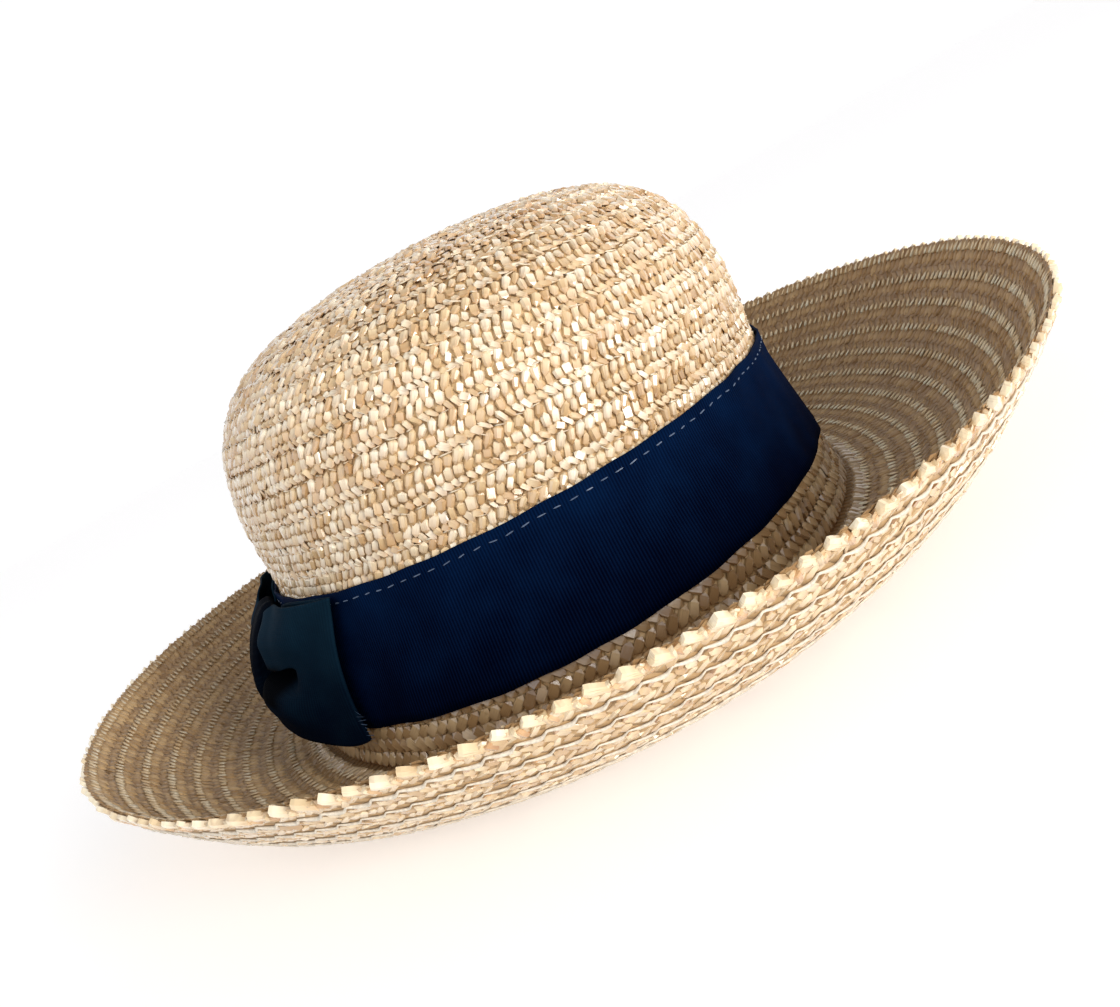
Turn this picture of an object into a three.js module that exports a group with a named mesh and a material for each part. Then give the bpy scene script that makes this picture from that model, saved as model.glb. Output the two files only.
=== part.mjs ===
// Straw boater hat: a domed crown and an upturned brim of sewn braid, a ribbon band and a flat bow.
// Millimetres, +Z up through the crown, +Y to the back of the hat, +X to the wearer's left.
// The origin is the middle of the flat ring that the brim rests on.
import * as THREE from 'three';

// Head oval where the crown meets the brim, measured over the straw
const baseHalfWidth = 87.5;
const baseHalfLength = 106.3;
const crownHeight = 104.8;
const brimWidth = 54.9;

// The crown leans a little to the wearer's right, as a share of its height
const crownLean = 0.021;

// Straw: braid rows sewn edge over edge
const strawThickness = 2.4;
const rowRelief = 0.5;
const crownRows = 24;
const brimRows = 10;
const pieceGap = 0.3;
const sidesAround = 40;
const crownLiningRings = 11;

// Ribbon band, as heights above the resting plane. It dips toward the wearer's left.
const bandBottom = 15.0;
const bandTop = 46.3;
const bandBottomDip = 2.8;
const bandTopDip = 1.0;
const bandThickness = 1.2;
const bandGap = 0.4;
const bandRings = 4;

// Bow at the wearer's left, a little behind the middle
const bowAngle = THREE.MathUtils.degToRad(24.5);
const bowRibbonThickness = 1.1;
const loopSectionCount = 30;
const loopCupping = 0.7;
const loopInnermost = 2.8;
const knotHalfWidth = 7.8;
const knotSides = 14;

// Crown outline from the brim to the tip: shares of the crown height and of the base oval
const crownProfile = [
  { height: 0.0, spread: 1.0 },
  { height: 0.35, spread: 0.892 },
  { height: 0.62, spread: 0.874 },
  { height: 0.8, spread: 0.799 },
  { height: 0.92, spread: 0.63 },
  { height: 0.985, spread: 0.348 },
  { height: 1.0, spread: 0.0 },
];

// Height of the turned-up rim: its mean, and how far it waves up and down round the head
const rimRise = {
  mean: 34.7,
  towardLeft: -2.1,
  towardBack: -0.3,
  bothSides: 2.1,
  diagonal: 0.4,
};
const brimFlatShare = 0.06;
const brimCurl = 2.36;

// One bow loop, out along the band and back: distance from the knot's middle, stand-off from
// the crown, and the ribbon's low and high edge
const loopPath = [
  { distance: 9.7, standOff: 3.2, low: 24.5, high: 41.5 },
  { distance: 18, standOff: 2.8, low: 19.0, high: 44.5 },
  { distance: 31, standOff: 2.8, low: 15.0, high: 45.5 },
  { distance: 42, standOff: 2.9, low: 12.8, high: 45.6 },
  { distance: 47, standOff: 4.2, low: 12.0, high: 45.8 },
  { distance: 42, standOff: 5.9, low: 11.6, high: 46.2 },
  { distance: 32, standOff: 8.2, low: 12.0, high: 46.6 },
  { distance: 22, standOff: 10.8, low: 13.8, high: 46.4 },
  { distance: 14, standOff: 12.2, low: 18.0, high: 44.8 },
  { distance: 9.7, standOff: 9.2, low: 22.5, high: 42.5 },
];

// The knot's wrap, seen along the band: widths share, and its vertical section at each
const knotPath = [
  { across: -1.0, low: 21.0, high: 44.0, outermost: 14.2 },
  { across: -0.6, low: 20.0, high: 45.0, outermost: 15.8 },
  { across: 0.0, low: 20.6, high: 44.4, outermost: 15.2 },
  { across: 0.6, low: 20.0, high: 45.0, outermost: 15.8 },
  { across: 1.0, low: 21.0, high: 44.0, outermost: 14.2 },
];
const knotInnermost = 2.1;
const knotSquareness = 0.62;

// Above a height the bow tucks in toward the crown. Along a loop the tuck fades away.
const tuckBottom = 26.0;
const tuckSpan = 18.0;
const tuckShare = 0.5;
const tuckFadeStart = 20.0;
const tuckFadeEnd = 38.0;

const crownBase = strawThickness + pieceGap;
const meanHalf = (baseHalfWidth + baseHalfLength) / 2;
const bandMiddle = (bandBottom + bandTop) / 2;

const strawMaterial = new THREE.MeshStandardMaterial({ color: 0xd2ab70, roughness: 0.5, metalness: 0 });
const brimMaterial = new THREE.MeshStandardMaterial({ color: 0xc8a269, roughness: 0.55, metalness: 0 });
const ribbonMaterial = new THREE.MeshStandardMaterial({ color: 0x0c1630, roughness: 0.75, metalness: 0 });
const bowMaterial = new THREE.MeshStandardMaterial({ color: 0x131f38, roughness: 0.75, metalness: 0 });

// The crown's outline in the plane of its axis, over the tip and down the other side
const crownMeridian = (() => {
  const side = crownProfile.map(({ height, spread }) => (
    new THREE.Vector2(spread * meanHalf, height * crownHeight)));
  const otherSide = side.slice(0, -1).reverse().map((point) => new THREE.Vector2(-point.x, point.y));
  const curve = new THREE.SplineCurve([...side, ...otherSide]);
  curve.arcLengthDivisions = 600;
  return curve;
})();

// The brim's outline from the crown to the rim, at the rim's mean height
const brimMeridian = (() => {
  const steps = 24;
  const points = Array.from({ length: steps + 1 }, (_, step) => {
    const reach = step / steps;
    return new THREE.Vector2(reach * brimWidth, brimLift(reach) * rimRise.mean);
  });
  return new THREE.SplineCurve(points);
})();

function brimLift(reach) {
  const curledShare = Math.max(0, (reach - brimFlatShare) / (1 - brimFlatShare));
  return curledShare ** brimCurl;
}

function rimHeight(angle) {
  return rimRise.mean
    + rimRise.towardLeft * Math.cos(angle)
    + rimRise.towardBack * Math.sin(angle)
    + rimRise.bothSides * Math.cos(2 * angle)
    + rimRise.diagonal * Math.sin(2 * angle);
}

// Point of the crown's outer face, along = 0 at the brim and 1 at the tip
function crownPoint(angle, along) {
  const point = crownMeridian.getPointAt(along / 2);
  const spread = point.x / meanHalf;
  const aside = baseHalfWidth * spread * Math.cos(angle);
  return new THREE.Vector3(
    aside - crownLean * point.y,
    baseHalfLength * spread * Math.sin(angle),
    crownBase + point.y * (1 + (crownLean * aside) / crownHeight),
  );
}

// Point of the brim's middle surface, reach = 0 at the crown and 1 at the rim
function brimPoint(angle, reach) {
  return new THREE.Vector3(
    (baseHalfWidth + reach * brimWidth) * Math.cos(angle),
    (baseHalfLength + reach * brimWidth) * Math.sin(angle),
    strawThickness / 2 + brimLift(reach) * rimHeight(angle),
  );
}

// Moves a surface point along the surface's normal: a positive distance goes out of the crown,
// and down out of the brim
function offsetPoint(surface, angle, along, distance) {
  const step = 0.002;
  const low = Math.max(0, along - step);
  const high = Math.min(1, along + step);
  const alongTangent = surface(angle, high).sub(surface(angle, low));
  const aroundTangent = surface(angle + step, along).sub(surface(angle - step, along));
  const normal = aroundTangent.cross(alongTangent).normalize();
  return surface(angle, along).addScaledVector(normal, distance);
}

function ringOf(pointAt) {
  return Array.from({ length: sidesAround }, (_, side) => pointAt((2 * Math.PI * side) / sidesAround));
}

// Joins rings of points into one closed body. A ring of one point is a pole. When the rings
// form a closed chain the last one joins the first.
function loft(rings, isChain) {
  const positions = [];
  const firstIndex = rings.map((ring) => {
    const start = positions.length / 3;
    ring.forEach((point) => positions.push(point.x, point.y, point.z));
    return start;
  });
  const triangles = [];
  const bandCount = isChain ? rings.length : rings.length - 1;
  for (let band = 0; band < bandCount; band += 1) {
    const next = (band + 1) % rings.length;
    const sides = Math.max(rings[band].length, rings[next].length);
    const corner = (ring, side) => firstIndex[ring] + (side % rings[ring].length);
    for (let side = 0; side < sides; side += 1) {
      if (rings[band].length > 1) {
        triangles.push(corner(band, side), corner(band, side + 1), corner(next, side));
      }
      if (rings[next].length > 1) {
        triangles.push(corner(band, side + 1), corner(next, side + 1), corner(next, side));
      }
    }
  }
  return facingOut(positions, triangles);
}

// Turns every face over when the body would be inside out, then gives the geometry its normals
function facingOut(positions, triangles) {
  const corner = (index) => new THREE.Vector3().fromArray(positions, 3 * index);
  let volume = 0;
  for (let start = 0; start < triangles.length; start += 3) {
    const [a, b, c] = triangles.slice(start, start + 3).map(corner);
    volume += a.dot(b.cross(c)) / 6;
  }
  const geometry = new THREE.BufferGeometry();
  geometry.setAttribute('position', new THREE.Float32BufferAttribute(positions, 3));
  geometry.setIndex(volume < 0 ? triangles.slice().reverse() : triangles);
  geometry.computeVertexNormals();
  return geometry;
}

// The crown: a hollow dome whose outer face has one ridge for each row of braid
function crownGeometry() {
  const outer = [];
  for (let step = 0; step < 2 * crownRows; step += 1) {
    const along = step / (2 * crownRows);
    const sink = step % 2 === 0 ? -rowRelief : 0;
    outer.push(ringOf((angle) => offsetPoint(crownPoint, angle, along, sink)));
  }
  const inner = [];
  for (let step = 0; step < crownLiningRings; step += 1) {
    const along = step / crownLiningRings;
    inner.push(ringOf((angle) => offsetPoint(crownPoint, angle, along, -strawThickness)));
  }
  inner[0] = inner[0].map((point) => point.setZ(crownBase));
  outer[0] = outer[0].map((point) => point.setZ(crownBase));
  const tip = crownPoint(0, 1);
  const tipInside = tip.clone().setZ(tip.z - strawThickness);
  return loft([[tipInside], ...inner.reverse(), ...outer, [tip]], false);
}

// The brim: a ring that lies flat next to the crown and turns up to its rim
function brimGeometry() {
  const upper = [];
  const under = [];
  for (let step = 0; step <= 2 * brimRows; step += 1) {
    const reach = brimMeridian.getPointAt(step / (2 * brimRows)).x / brimWidth;
    const sink = step % 2 === 0 ? rowRelief : 0;
    const isFlat = reach < brimFlatShare;
    const upperOffset = sink - strawThickness / 2;
    const underOffset = strawThickness / 2 - (isFlat ? 0 : sink);
    upper.push(ringOf((angle) => offsetPoint(brimPoint, angle, reach, upperOffset)));
    under.push(ringOf((angle) => offsetPoint(brimPoint, angle, reach, underOffset)));
  }
  const headEdge = (height) => ringOf((angle) => new THREE.Vector3(
    (baseHalfWidth - strawThickness) * Math.cos(angle),
    (baseHalfLength - strawThickness) * Math.sin(angle),
    height,
  ));
  upper[0] = upper[0].map((point) => point.setZ(strawThickness));
  return loft([headEdge(strawThickness), ...upper, ...under.reverse(), headEdge(0)], true);
}

// How far along the crown's outline a height lies
function alongAtHeight(height) {
  let low = 0;
  let high = 1;
  for (let step = 0; step < 30; step += 1) {
    const middle = (low + high) / 2;
    if (crownBase + crownMeridian.getPointAt(middle / 2).y < height) low = middle;
    else high = middle;
  }
  return (low + high) / 2;
}

// Point that stands off the crown's outer face level with a height
function pointOffCrown(angle, height, standOff) {
  const point = crownPoint(angle, alongAtHeight(height));
  const outward = new THREE.Vector3(Math.cos(angle) / baseHalfWidth, Math.sin(angle) / baseHalfLength, 0);
  return point.addScaledVector(outward.normalize(), standOff);
}

// The ribbon band, a thin belt round the foot of the crown
function bandGeometry() {
  const shares = Array.from({ length: bandRings }, (_, ring) => ring / (bandRings - 1));
  const heightAt = (angle, share) => THREE.MathUtils.lerp(
    bandBottom - bandBottomDip * Math.cos(angle),
    bandTop - bandTopDip * Math.cos(angle),
    share,
  );
  const ringAt = (share, standOff) => ringOf((angle) => (
    pointOffCrown(angle, heightAt(angle, share), standOff)));
  const inner = shares.map((share) => ringAt(share, bandGap));
  const outer = shares.map((share) => ringAt(share, bandGap + bandThickness));
  return loft([...outer, ...inner.reverse()], true);
}

// The angle reached by going a distance along the band from the middle of the bow
function angleAlongBand(distance) {
  const steps = 40;
  const spread = crownMeridian.getPointAt(alongAtHeight(bandMiddle) / 2).x / meanHalf;
  let angle = bowAngle;
  for (let step = 0; step < steps; step += 1) {
    const speed = spread * Math.hypot(
      baseHalfWidth * Math.sin(angle),
      baseHalfLength * Math.cos(angle),
    );
    angle += distance / steps / speed;
  }
  return angle;
}

// Stand-off of a point of the bow once its upper part is tucked in
function tucked(height, standOff, innermost, strength) {
  const rise = Math.max(0, height - tuckBottom) / tuckSpan;
  return innermost + (standOff - innermost) * (1 - tuckShare * strength * rise * rise);
}

// One loop of the bow: the ribbon goes out along the band, folds and comes back to the knot
function loopGeometry(direction) {
  const route = new THREE.CatmullRomCurve3(
    loopPath.map(({ distance, standOff }) => new THREE.Vector3(distance, standOff, 0)), true);
  const edges = new THREE.CatmullRomCurve3(
    loopPath.map(({ low, high }) => new THREE.Vector3(low, high, 0)), true);
  const sections = [];
  for (let index = 0; index < loopSectionCount; index += 1) {
    const share = index / loopSectionCount;
    const { x: distance, y: standOff } = route.getPoint(share);
    const { x: low, y: high } = edges.getPoint(share);
    const tangent = route.getTangent(share);
    const middle = (low + high) / 2;
    const strength = 1 - THREE.MathUtils.smoothstep(distance, tuckFadeStart, tuckFadeEnd);
    const section = [[low, 1], [middle, 1], [high, 1], [high, -1], [middle, -1], [low, -1]];
    sections.push(section.map(([height, face]) => {
      const half = (face * bowRibbonThickness) / 2;
      const cup = height === middle ? loopCupping * Math.max(0, -tangent.x) : 0;
      const angle = angleAlongBand(direction * (distance + half * tangent.y));
      const middleOff = tucked(height, standOff + cup, loopInnermost, strength);
      return pointOffCrown(angle, height, middleOff - half * tangent.x);
    }));
  }
  return loft(sections, true);
}

// The knot: a short ribbon wrapped over the middle of the bow
function knotGeometry() {
  const soften = (value) => Math.sign(value) * Math.abs(value) ** knotSquareness;
  const sections = knotPath.map(({ across, low, high, outermost }) => {
    const angle = angleAlongBand(across * knotHalfWidth);
    return Array.from({ length: knotSides }, (_, side) => {
      const turn = (2 * Math.PI * side) / knotSides;
      const height = (low + high) / 2 + ((high - low) / 2) * soften(Math.sin(turn));
      const depth = (outermost - knotInnermost) / 2;
      const standOff = knotInnermost + depth + depth * soften(Math.cos(turn));
      return pointOffCrown(angle, height, tucked(height, standOff, knotInnermost, 1));
    });
  });
  const capMiddle = (section) => (
    [section.reduce((sum, point) => sum.add(point), new THREE.Vector3()).divideScalar(section.length)]);
  return loft([capMiddle(sections[0]), ...sections, capMiddle(sections.at(-1))], false);
}

function piece(name, geometry, material) {
  const mesh = new THREE.Mesh(geometry, material);
  mesh.name = name;
  return mesh;
}

const hat = new THREE.Group();
hat.add(piece('crown', crownGeometry(), strawMaterial));
hat.add(piece('brim', brimGeometry(), brimMaterial));
hat.add(piece('hat_band', bandGeometry(), ribbonMaterial));
hat.add(piece('bow_loop_rear', loopGeometry(1), bowMaterial));
hat.add(piece('bow_loop_front', loopGeometry(-1), bowMaterial));
hat.add(piece('bow_knot', knotGeometry(), bowMaterial));

export default hat;
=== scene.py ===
"""The looks of the straw boater hat: sewn straw braid, a grosgrain ribbon band and a flat bow."""

import logging
import math
from collections.abc import Callable, Iterable
from dataclasses import dataclass
from enum import Enum

import bmesh
import bpy
import numpy as np
from mathutils import Matrix, Vector


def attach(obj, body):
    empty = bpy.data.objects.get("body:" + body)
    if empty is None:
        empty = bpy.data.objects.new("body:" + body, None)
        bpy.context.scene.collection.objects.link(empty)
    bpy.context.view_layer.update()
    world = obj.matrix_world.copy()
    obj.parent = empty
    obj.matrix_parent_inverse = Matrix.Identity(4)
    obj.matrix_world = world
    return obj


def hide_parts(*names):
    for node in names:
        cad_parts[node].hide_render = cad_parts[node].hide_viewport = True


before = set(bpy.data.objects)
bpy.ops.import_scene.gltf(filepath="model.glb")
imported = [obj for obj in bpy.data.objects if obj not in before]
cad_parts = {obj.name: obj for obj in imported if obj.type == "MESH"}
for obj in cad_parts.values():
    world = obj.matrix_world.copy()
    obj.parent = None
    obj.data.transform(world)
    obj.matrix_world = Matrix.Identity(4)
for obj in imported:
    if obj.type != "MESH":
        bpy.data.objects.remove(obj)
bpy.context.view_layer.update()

LOG = logging.getLogger("straw_hat")
BODY = "root"
MM = 0.001
FULL_TURN = 2 * math.pi
ROUNDING = 1e-9
SHORTEST = 1e-12
MERGE_WITHIN = 1e-6
LOST_EDGE = 1e-7

Array = np.ndarray
Surface = Callable[[Array, Array], Array]
Paint = tuple[int, int, int]
Window = tuple[float, float]


# Shape of the hat


def catmull_rom(points: Array, steps: int) -> Array:
    """Samples the smooth curve through a few points.

    Args:
        points: the points, one row each.
        steps: how many samples to take.

    Returns:
        The samples, evenly spaced from point to point.
    """
    last = len(points) - 1
    place = np.linspace(0, last, steps)
    left = np.minimum(place.astype(int), last - 1)
    share = (place - left)[:, None]
    before = points[np.maximum(left - 1, 0)]
    here = points[left]
    there = points[left + 1]
    after = points[np.minimum(left + 2, last)]
    leave = (there - before) / 2
    arrive = (after - here) / 2
    return (
        (2 * here - 2 * there + leave + arrive) * share**3
        + (-3 * here + 3 * there - 2 * leave - arrive) * share**2
        + leave * share
        + here
    )


def arc_lengths(points: Array) -> Array:
    """How far along its line each point lies."""
    return np.concatenate([[0.0], np.cumsum(np.linalg.norm(np.diff(points, axis=0), axis=1))])


def arc_shares(points: Array) -> Array:
    """How far along its line each point lies, as a share of the line."""
    travelled = arc_lengths(points)
    return travelled / travelled[-1]


def smooth_step(window: Window, value: Array) -> Array:
    """Rises smoothly from 0 at the window's start to 1 at its end."""
    share = np.clip((value - window[0]) / (window[1] - window[0]), 0, 1)
    return share * share * (3 - 2 * share)


def fade(window: Window, value: Array) -> Array:
    """Falls smoothly from 1 at the window's start to 0 at its end."""
    return 1 - smooth_step(window, value)


def hump(middle: float, half: float, value: Array) -> Array:
    """Rises to 1 at the middle and falls away on both sides, with shoulders at half."""
    return np.exp(-(((value - middle) / half) ** 2))


def soften(value: Array, squareness: float) -> Array:
    """Pushes a sine or cosine out toward a square: 1 keeps the circle, 0 gives the square."""
    return np.sign(value) * np.abs(value) ** squareness


def unit(vectors: Array) -> Array:
    """Scales vectors to length one."""
    return vectors / np.maximum(np.linalg.norm(vectors, axis=-1, keepdims=True), SHORTEST)


def turns(count: int) -> Array:
    """Angles spaced evenly round a full turn."""
    return np.arange(count) / count * FULL_TURN


def pairs(first: Array, second: Array) -> Array:
    """Two numbers for each place of a grid, in the last axis."""
    return np.stack(np.broadcast_arrays(first, second), -1)


@dataclass(frozen=True)
class HatShape:
    """The hat's form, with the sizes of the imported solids, in metres; angles run from +X toward +Y."""

    half_width: float = 87.5 * MM
    half_length: float = 106.3 * MM
    crown_height: float = 104.8 * MM
    crown_lean: float = 0.021
    brim_width: float = 54.9 * MM
    straw: float = 2.4 * MM
    gap: float = 0.3 * MM
    crown_rows: int = 24
    brim_rows: int = 10
    outline: tuple[tuple[float, float], ...] = (
        (0.0, 1.0), (0.35, 0.892), (0.62, 0.874), (0.8, 0.799), (0.92, 0.63), (0.985, 0.348), (1.0, 0.0),
    )
    outline_samples: int = 1201
    brim_samples: int = 400
    oval_samples: int = 721
    rim_mean: float = 34.7 * MM
    rim_left: float = -2.1 * MM
    rim_back: float = -0.3 * MM
    rim_sides: float = 2.1 * MM
    rim_diagonal: float = 0.4 * MM
    flat_share: float = 0.06
    curl: float = 2.36
    band_low: float = 15.0 * MM
    band_high: float = 46.3 * MM
    band_low_dip: float = 2.8 * MM
    band_high_dip: float = 1.0 * MM

    @property
    def crown_base(self) -> float:
        """Height of the crown's lower edge."""
        return self.straw + self.gap

    @property
    def mean_half(self) -> float:
        """Mean of the base oval's two half sizes."""
        return (self.half_width + self.half_length) / 2

    def oval(self, angle: Array, spread: Array | float, grow: Array | float) -> tuple[Array, Array]:
        """Places on the base oval scaled by spread and then widened by grow, as x and y."""
        return (
            (self.half_width * spread + grow) * np.cos(angle),
            (self.half_length * spread + grow) * np.sin(angle),
        )

    def girth(self, spread: float, grow: float) -> float:
        """Works out the length round one oval of the hat.

        Args:
            spread: size of the oval as a share of the base oval.
            grow: what is added to both half sizes.

        Returns:
            The length.
        """
        a = self.half_width * spread + grow
        b = self.half_length * spread + grow
        return math.pi * (3 * (a + b) - math.sqrt((3 * a + b) * (a + 3 * b)))

    def angle_at(self, spread: float, grow: float, turn_share: Array) -> Array:
        """Finds the angles at shares of the way round one oval.

        Args:
            spread: size of the oval as a share of the base oval.
            grow: what is added to both half sizes.
            turn_share: shares of the oval's girth.

        Returns:
            The angles.
        """
        angle = np.linspace(0, FULL_TURN, self.oval_samples)
        line = np.stack(self.oval(angle, spread, grow), -1)
        return np.interp(turn_share % 1.0, arc_shares(line), angle)

    def crown_table(self) -> tuple[Array, Array, Array]:
        """Works out the crown's outline from brim to tip.

        Returns:
            Shares of the outline's length, and the spread and the height at each.
        """
        side = [(spread * self.mean_half, height * self.crown_height) for height, spread in self.outline]
        other = [(-across, height) for across, height in reversed(side[:-1])]
        line = catmull_rom(np.array(side + other), self.outline_samples)
        share = 2 * arc_shares(line)
        keep = share <= 1 + ROUNDING
        return share[keep], np.maximum(line[keep, 0], 0) / self.mean_half, line[keep, 1]

    def crown_point(self, angle: Array, along: Array) -> Array:
        """Finds points of the crown's outer face.

        Args:
            angle: angle round the axis.
            along: share of the way up the outline, 0 at the brim and 1 at the tip.

        Returns:
            The points, with x, y and z in the last axis.
        """
        shares, spreads, heights = self.crown_table()
        aside, ahead = self.oval(angle, np.interp(along, shares, spreads), 0.0)
        height = np.interp(along, shares, heights)
        rise = height * (1 + self.crown_lean * aside / self.crown_height)
        return np.stack([aside - self.crown_lean * height, ahead, self.crown_base + rise], -1)

    def crown_share_at(self, height: Array) -> Array:
        """How far up the crown's outline a height above the table lies."""
        shares, _, heights = self.crown_table()
        return np.interp(np.asarray(height) - self.crown_base, heights, shares)

    def level_out(self, angle: Array) -> Array:
        """Level directions that lead straight out of the crown."""
        way = [np.cos(angle) / self.half_width, np.sin(angle) / self.half_length, 0 * angle]
        return unit(np.stack(way, -1))

    def off_crown(self, angle: Array, height: Array, stand_off: Array) -> Array:
        """Points level with a height that stand off the crown's outer face."""
        point = self.crown_point(angle, self.crown_share_at(height))
        return point + self.level_out(angle) * np.asarray(stand_off)[..., None]

    def band_height(self, angle: Array, share: Array) -> Array:
        """Finds the height of a line along the ribbon band, which dips toward +X.

        Args:
            angle: angle round the axis.
            share: share of the ribbon's width, from its lower edge.

        Returns:
            The height above the table.
        """
        low = self.band_low - self.band_low_dip * np.cos(angle)
        high = self.band_high - self.band_high_dip * np.cos(angle)
        return low + (high - low) * share

    def lift(self, reach: Array) -> Array:
        """Share of the rim's height that the brim has at a share of its width."""
        curled = np.maximum(0, (reach - self.flat_share) / (1 - self.flat_share))
        return curled**self.curl

    def rim_height(self, angle: Array) -> Array:
        """Height of the turned-up rim over the flat part."""
        return (
            self.rim_mean
            + self.rim_left * np.cos(angle)
            + self.rim_back * np.sin(angle)
            + self.rim_sides * np.cos(2 * angle)
            + self.rim_diagonal * np.sin(2 * angle)
        )

    def brim_point(self, angle: Array, reach: Array) -> Array:
        """Finds points of the brim's middle surface.

        Args:
            angle: angle round the axis.
            reach: share of the brim's width, 0 at the crown and 1 at the rim.

        Returns:
            The points.
        """
        aside, ahead = self.oval(angle, 1.0, reach * self.brim_width)
        height = self.straw / 2 + self.lift(reach) * self.rim_height(angle)
        return np.stack([aside, ahead, height], -1)

    def brim_reach(self, share: Array) -> Array:
        """Turns a share of the brim's curved outline into a share of its width.

        Args:
            share: share of the outline's length, from the crown.

        Returns:
            The share of the width.
        """
        reach = np.linspace(0, 1, self.brim_samples)
        line = np.stack([reach * self.brim_width, self.lift(reach) * self.rim_mean], -1)
        return np.interp(share, arc_shares(line), reach)


@dataclass(frozen=True)
class Stance:
    """Places on a surface, with the way round the hat and the way out of the face."""

    point: Array
    around: Array
    out: Array

    def lifted(self, distance: Array | float) -> "Stance":
        """The same places moved out of the face."""
        return Stance(self.point + self.out * np.asarray(distance)[..., None], self.around, self.out)


def stand_on(surface: Surface, angle: Array, along: Array, flip: bool = False) -> Stance:
    """Measures a surface at some places.

    Args:
        surface: gives a point for an angle and a share along the outline.
        angle: the angles.
        along: the shares.
        flip: True where the face looks along the other side of the surface.

    Returns:
        The places with their directions.
    """
    step = 0.002
    low = np.maximum(along - step, 0)
    high = np.minimum(along + step, 1)
    around = unit(surface(angle + step, along) - surface(angle - step, along))
    out = unit(np.cross(around, surface(angle, high) - surface(angle, low)))
    return Stance(surface(angle, along), around, -out if flip else out)


def gather(parts: list[Stance]) -> Stance:
    """Joins several rows of places into one."""
    keys = ("point", "around", "out")
    return Stance(*(np.concatenate([getattr(part, key) for part in parts]) for key in keys))


# Meshes


def add_object(name: str, data: bpy.types.ID) -> bpy.types.Object:
    """Puts an object with some data into the scene.

    Args:
        name: the object's name.
        data: its mesh, light or camera.

    Returns:
        The object.
    """
    thing = bpy.data.objects.new(name, data)
    bpy.context.scene.collection.objects.link(thing)
    return thing


def new_mesh(name: str, points: Array, faces: list[tuple[int, ...]], smooth: bool = True) -> bpy.types.Object:
    """Makes a mesh object at the origin.

    Args:
        name: the object's name.
        points: its points.
        faces: its faces, as rows of point numbers.
        smooth: True for smooth shading.

    Returns:
        The object.
    """
    mesh = bpy.data.meshes.new(name)
    mesh.from_pydata([tuple(point) for point in points.reshape(-1, 3)], [], faces)
    mesh.polygons.foreach_set("use_smooth", [smooth] * len(mesh.polygons))
    mesh.update()
    return add_object(name, mesh)


def lofted(name: str, rings: Array, closed: bool, uv: Array | None = None) -> bpy.types.Object:
    """Joins rings of points into a skin.

    Args:
        name: the object's name.
        rings: points as rings x sides x 3.
        closed: True when the last ring joins the first.
        uv: where each ring and side lies on the cloth, as rings + 1 x sides + 1 x 2.

    Returns:
        The object.
    """
    count, sides = rings.shape[:2]
    bands = count if closed else count - 1
    cells = [(band, side) for band in range(bands) for side in range(sides)]
    faces = []
    for band, side in cells:
        here = band * sides
        there = (band + 1) % count * sides
        beside = (side + 1) % sides
        faces.append((here + side, here + beside, there + beside, there + side))
    thing = new_mesh(name, rings, faces)
    if uv is not None:
        corners = ((0, 0), (0, 1), (1, 1), (1, 0))
        places = [uv[band + i, side + j] for band, side in cells for i, j in corners]
        thing.data.uv_layers.new(name="cloth").data.foreach_set("uv", np.array(places, float).ravel())
    return thing


def store(thing: bpy.types.Object, name: str, values: Array) -> None:
    """Stores a number or a direction for each point of a mesh.

    Args:
        thing: the mesh object.
        name: the attribute's name.
        values: a number or three of them for each point.
    """
    flat = np.asarray(values, float).ravel()
    single = len(flat) == len(thing.data.vertices)
    attribute = thing.data.attributes.new(name, "FLOAT" if single else "FLOAT_VECTOR", "POINT")
    attribute.data.foreach_set("value" if single else "vector", flat)


def face_out(thing: bpy.types.Object) -> None:
    """Turns a closed mesh the right way out.

    Args:
        thing: the mesh object.
    """
    mesh = thing.data
    mesh.calc_loop_triangles()
    points = np.array([vertex.co for vertex in mesh.vertices])
    triangles = np.array([triangle.vertices for triangle in mesh.loop_triangles])
    a, b, c = (points[triangles[:, corner]] for corner in range(3))
    if float((a * np.cross(b, c)).sum()) < 0:
        mesh.flip_normals()


def weld(thing: bpy.types.Object) -> None:
    """Merges points that lie on each other.

    Args:
        thing: the mesh object.
    """
    work = bmesh.new()
    work.from_mesh(thing.data)
    bmesh.ops.remove_doubles(work, verts=work.verts, dist=MERGE_WITHIN)
    bmesh.ops.dissolve_degenerate(work, edges=work.edges, dist=LOST_EDGE)
    work.to_mesh(thing.data)
    work.free()
    thing.data.update()


def join(name: str, things: list[bpy.types.Object]) -> bpy.types.Object:
    """Joins meshes into one object.

    Args:
        name: its name.
        things: the objects, which are used up.

    Returns:
        The joined object.
    """
    with bpy.context.temp_override(active_object=things[0], selected_editable_objects=things):
        bpy.ops.object.join()
    things[0].name = name
    things[0].data.name = name
    return things[0]


def dress(thing: bpy.types.Object, finish: bpy.types.Material) -> bpy.types.Object:
    """Turns a closed mesh the right way out and gives it its finish.

    Args:
        thing: the mesh object.
        finish: its material.

    Returns:
        The object.
    """
    face_out(thing)
    thing.data.materials.append(finish)
    return thing


def settle(piece: bpy.types.Object, nodes: tuple[str, ...] = ()) -> None:
    """Makes a finished object a piece of the hat.

    Args:
        piece: the object.
        nodes: the solids it stands for.
    """
    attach(piece, BODY)
    if nodes:
        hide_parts(*nodes)
    piece.data.calc_loop_triangles()
    LOG.info("%s: %d triangles", piece.name, len(piece.data.loop_triangles))


# Shader maths


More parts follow.
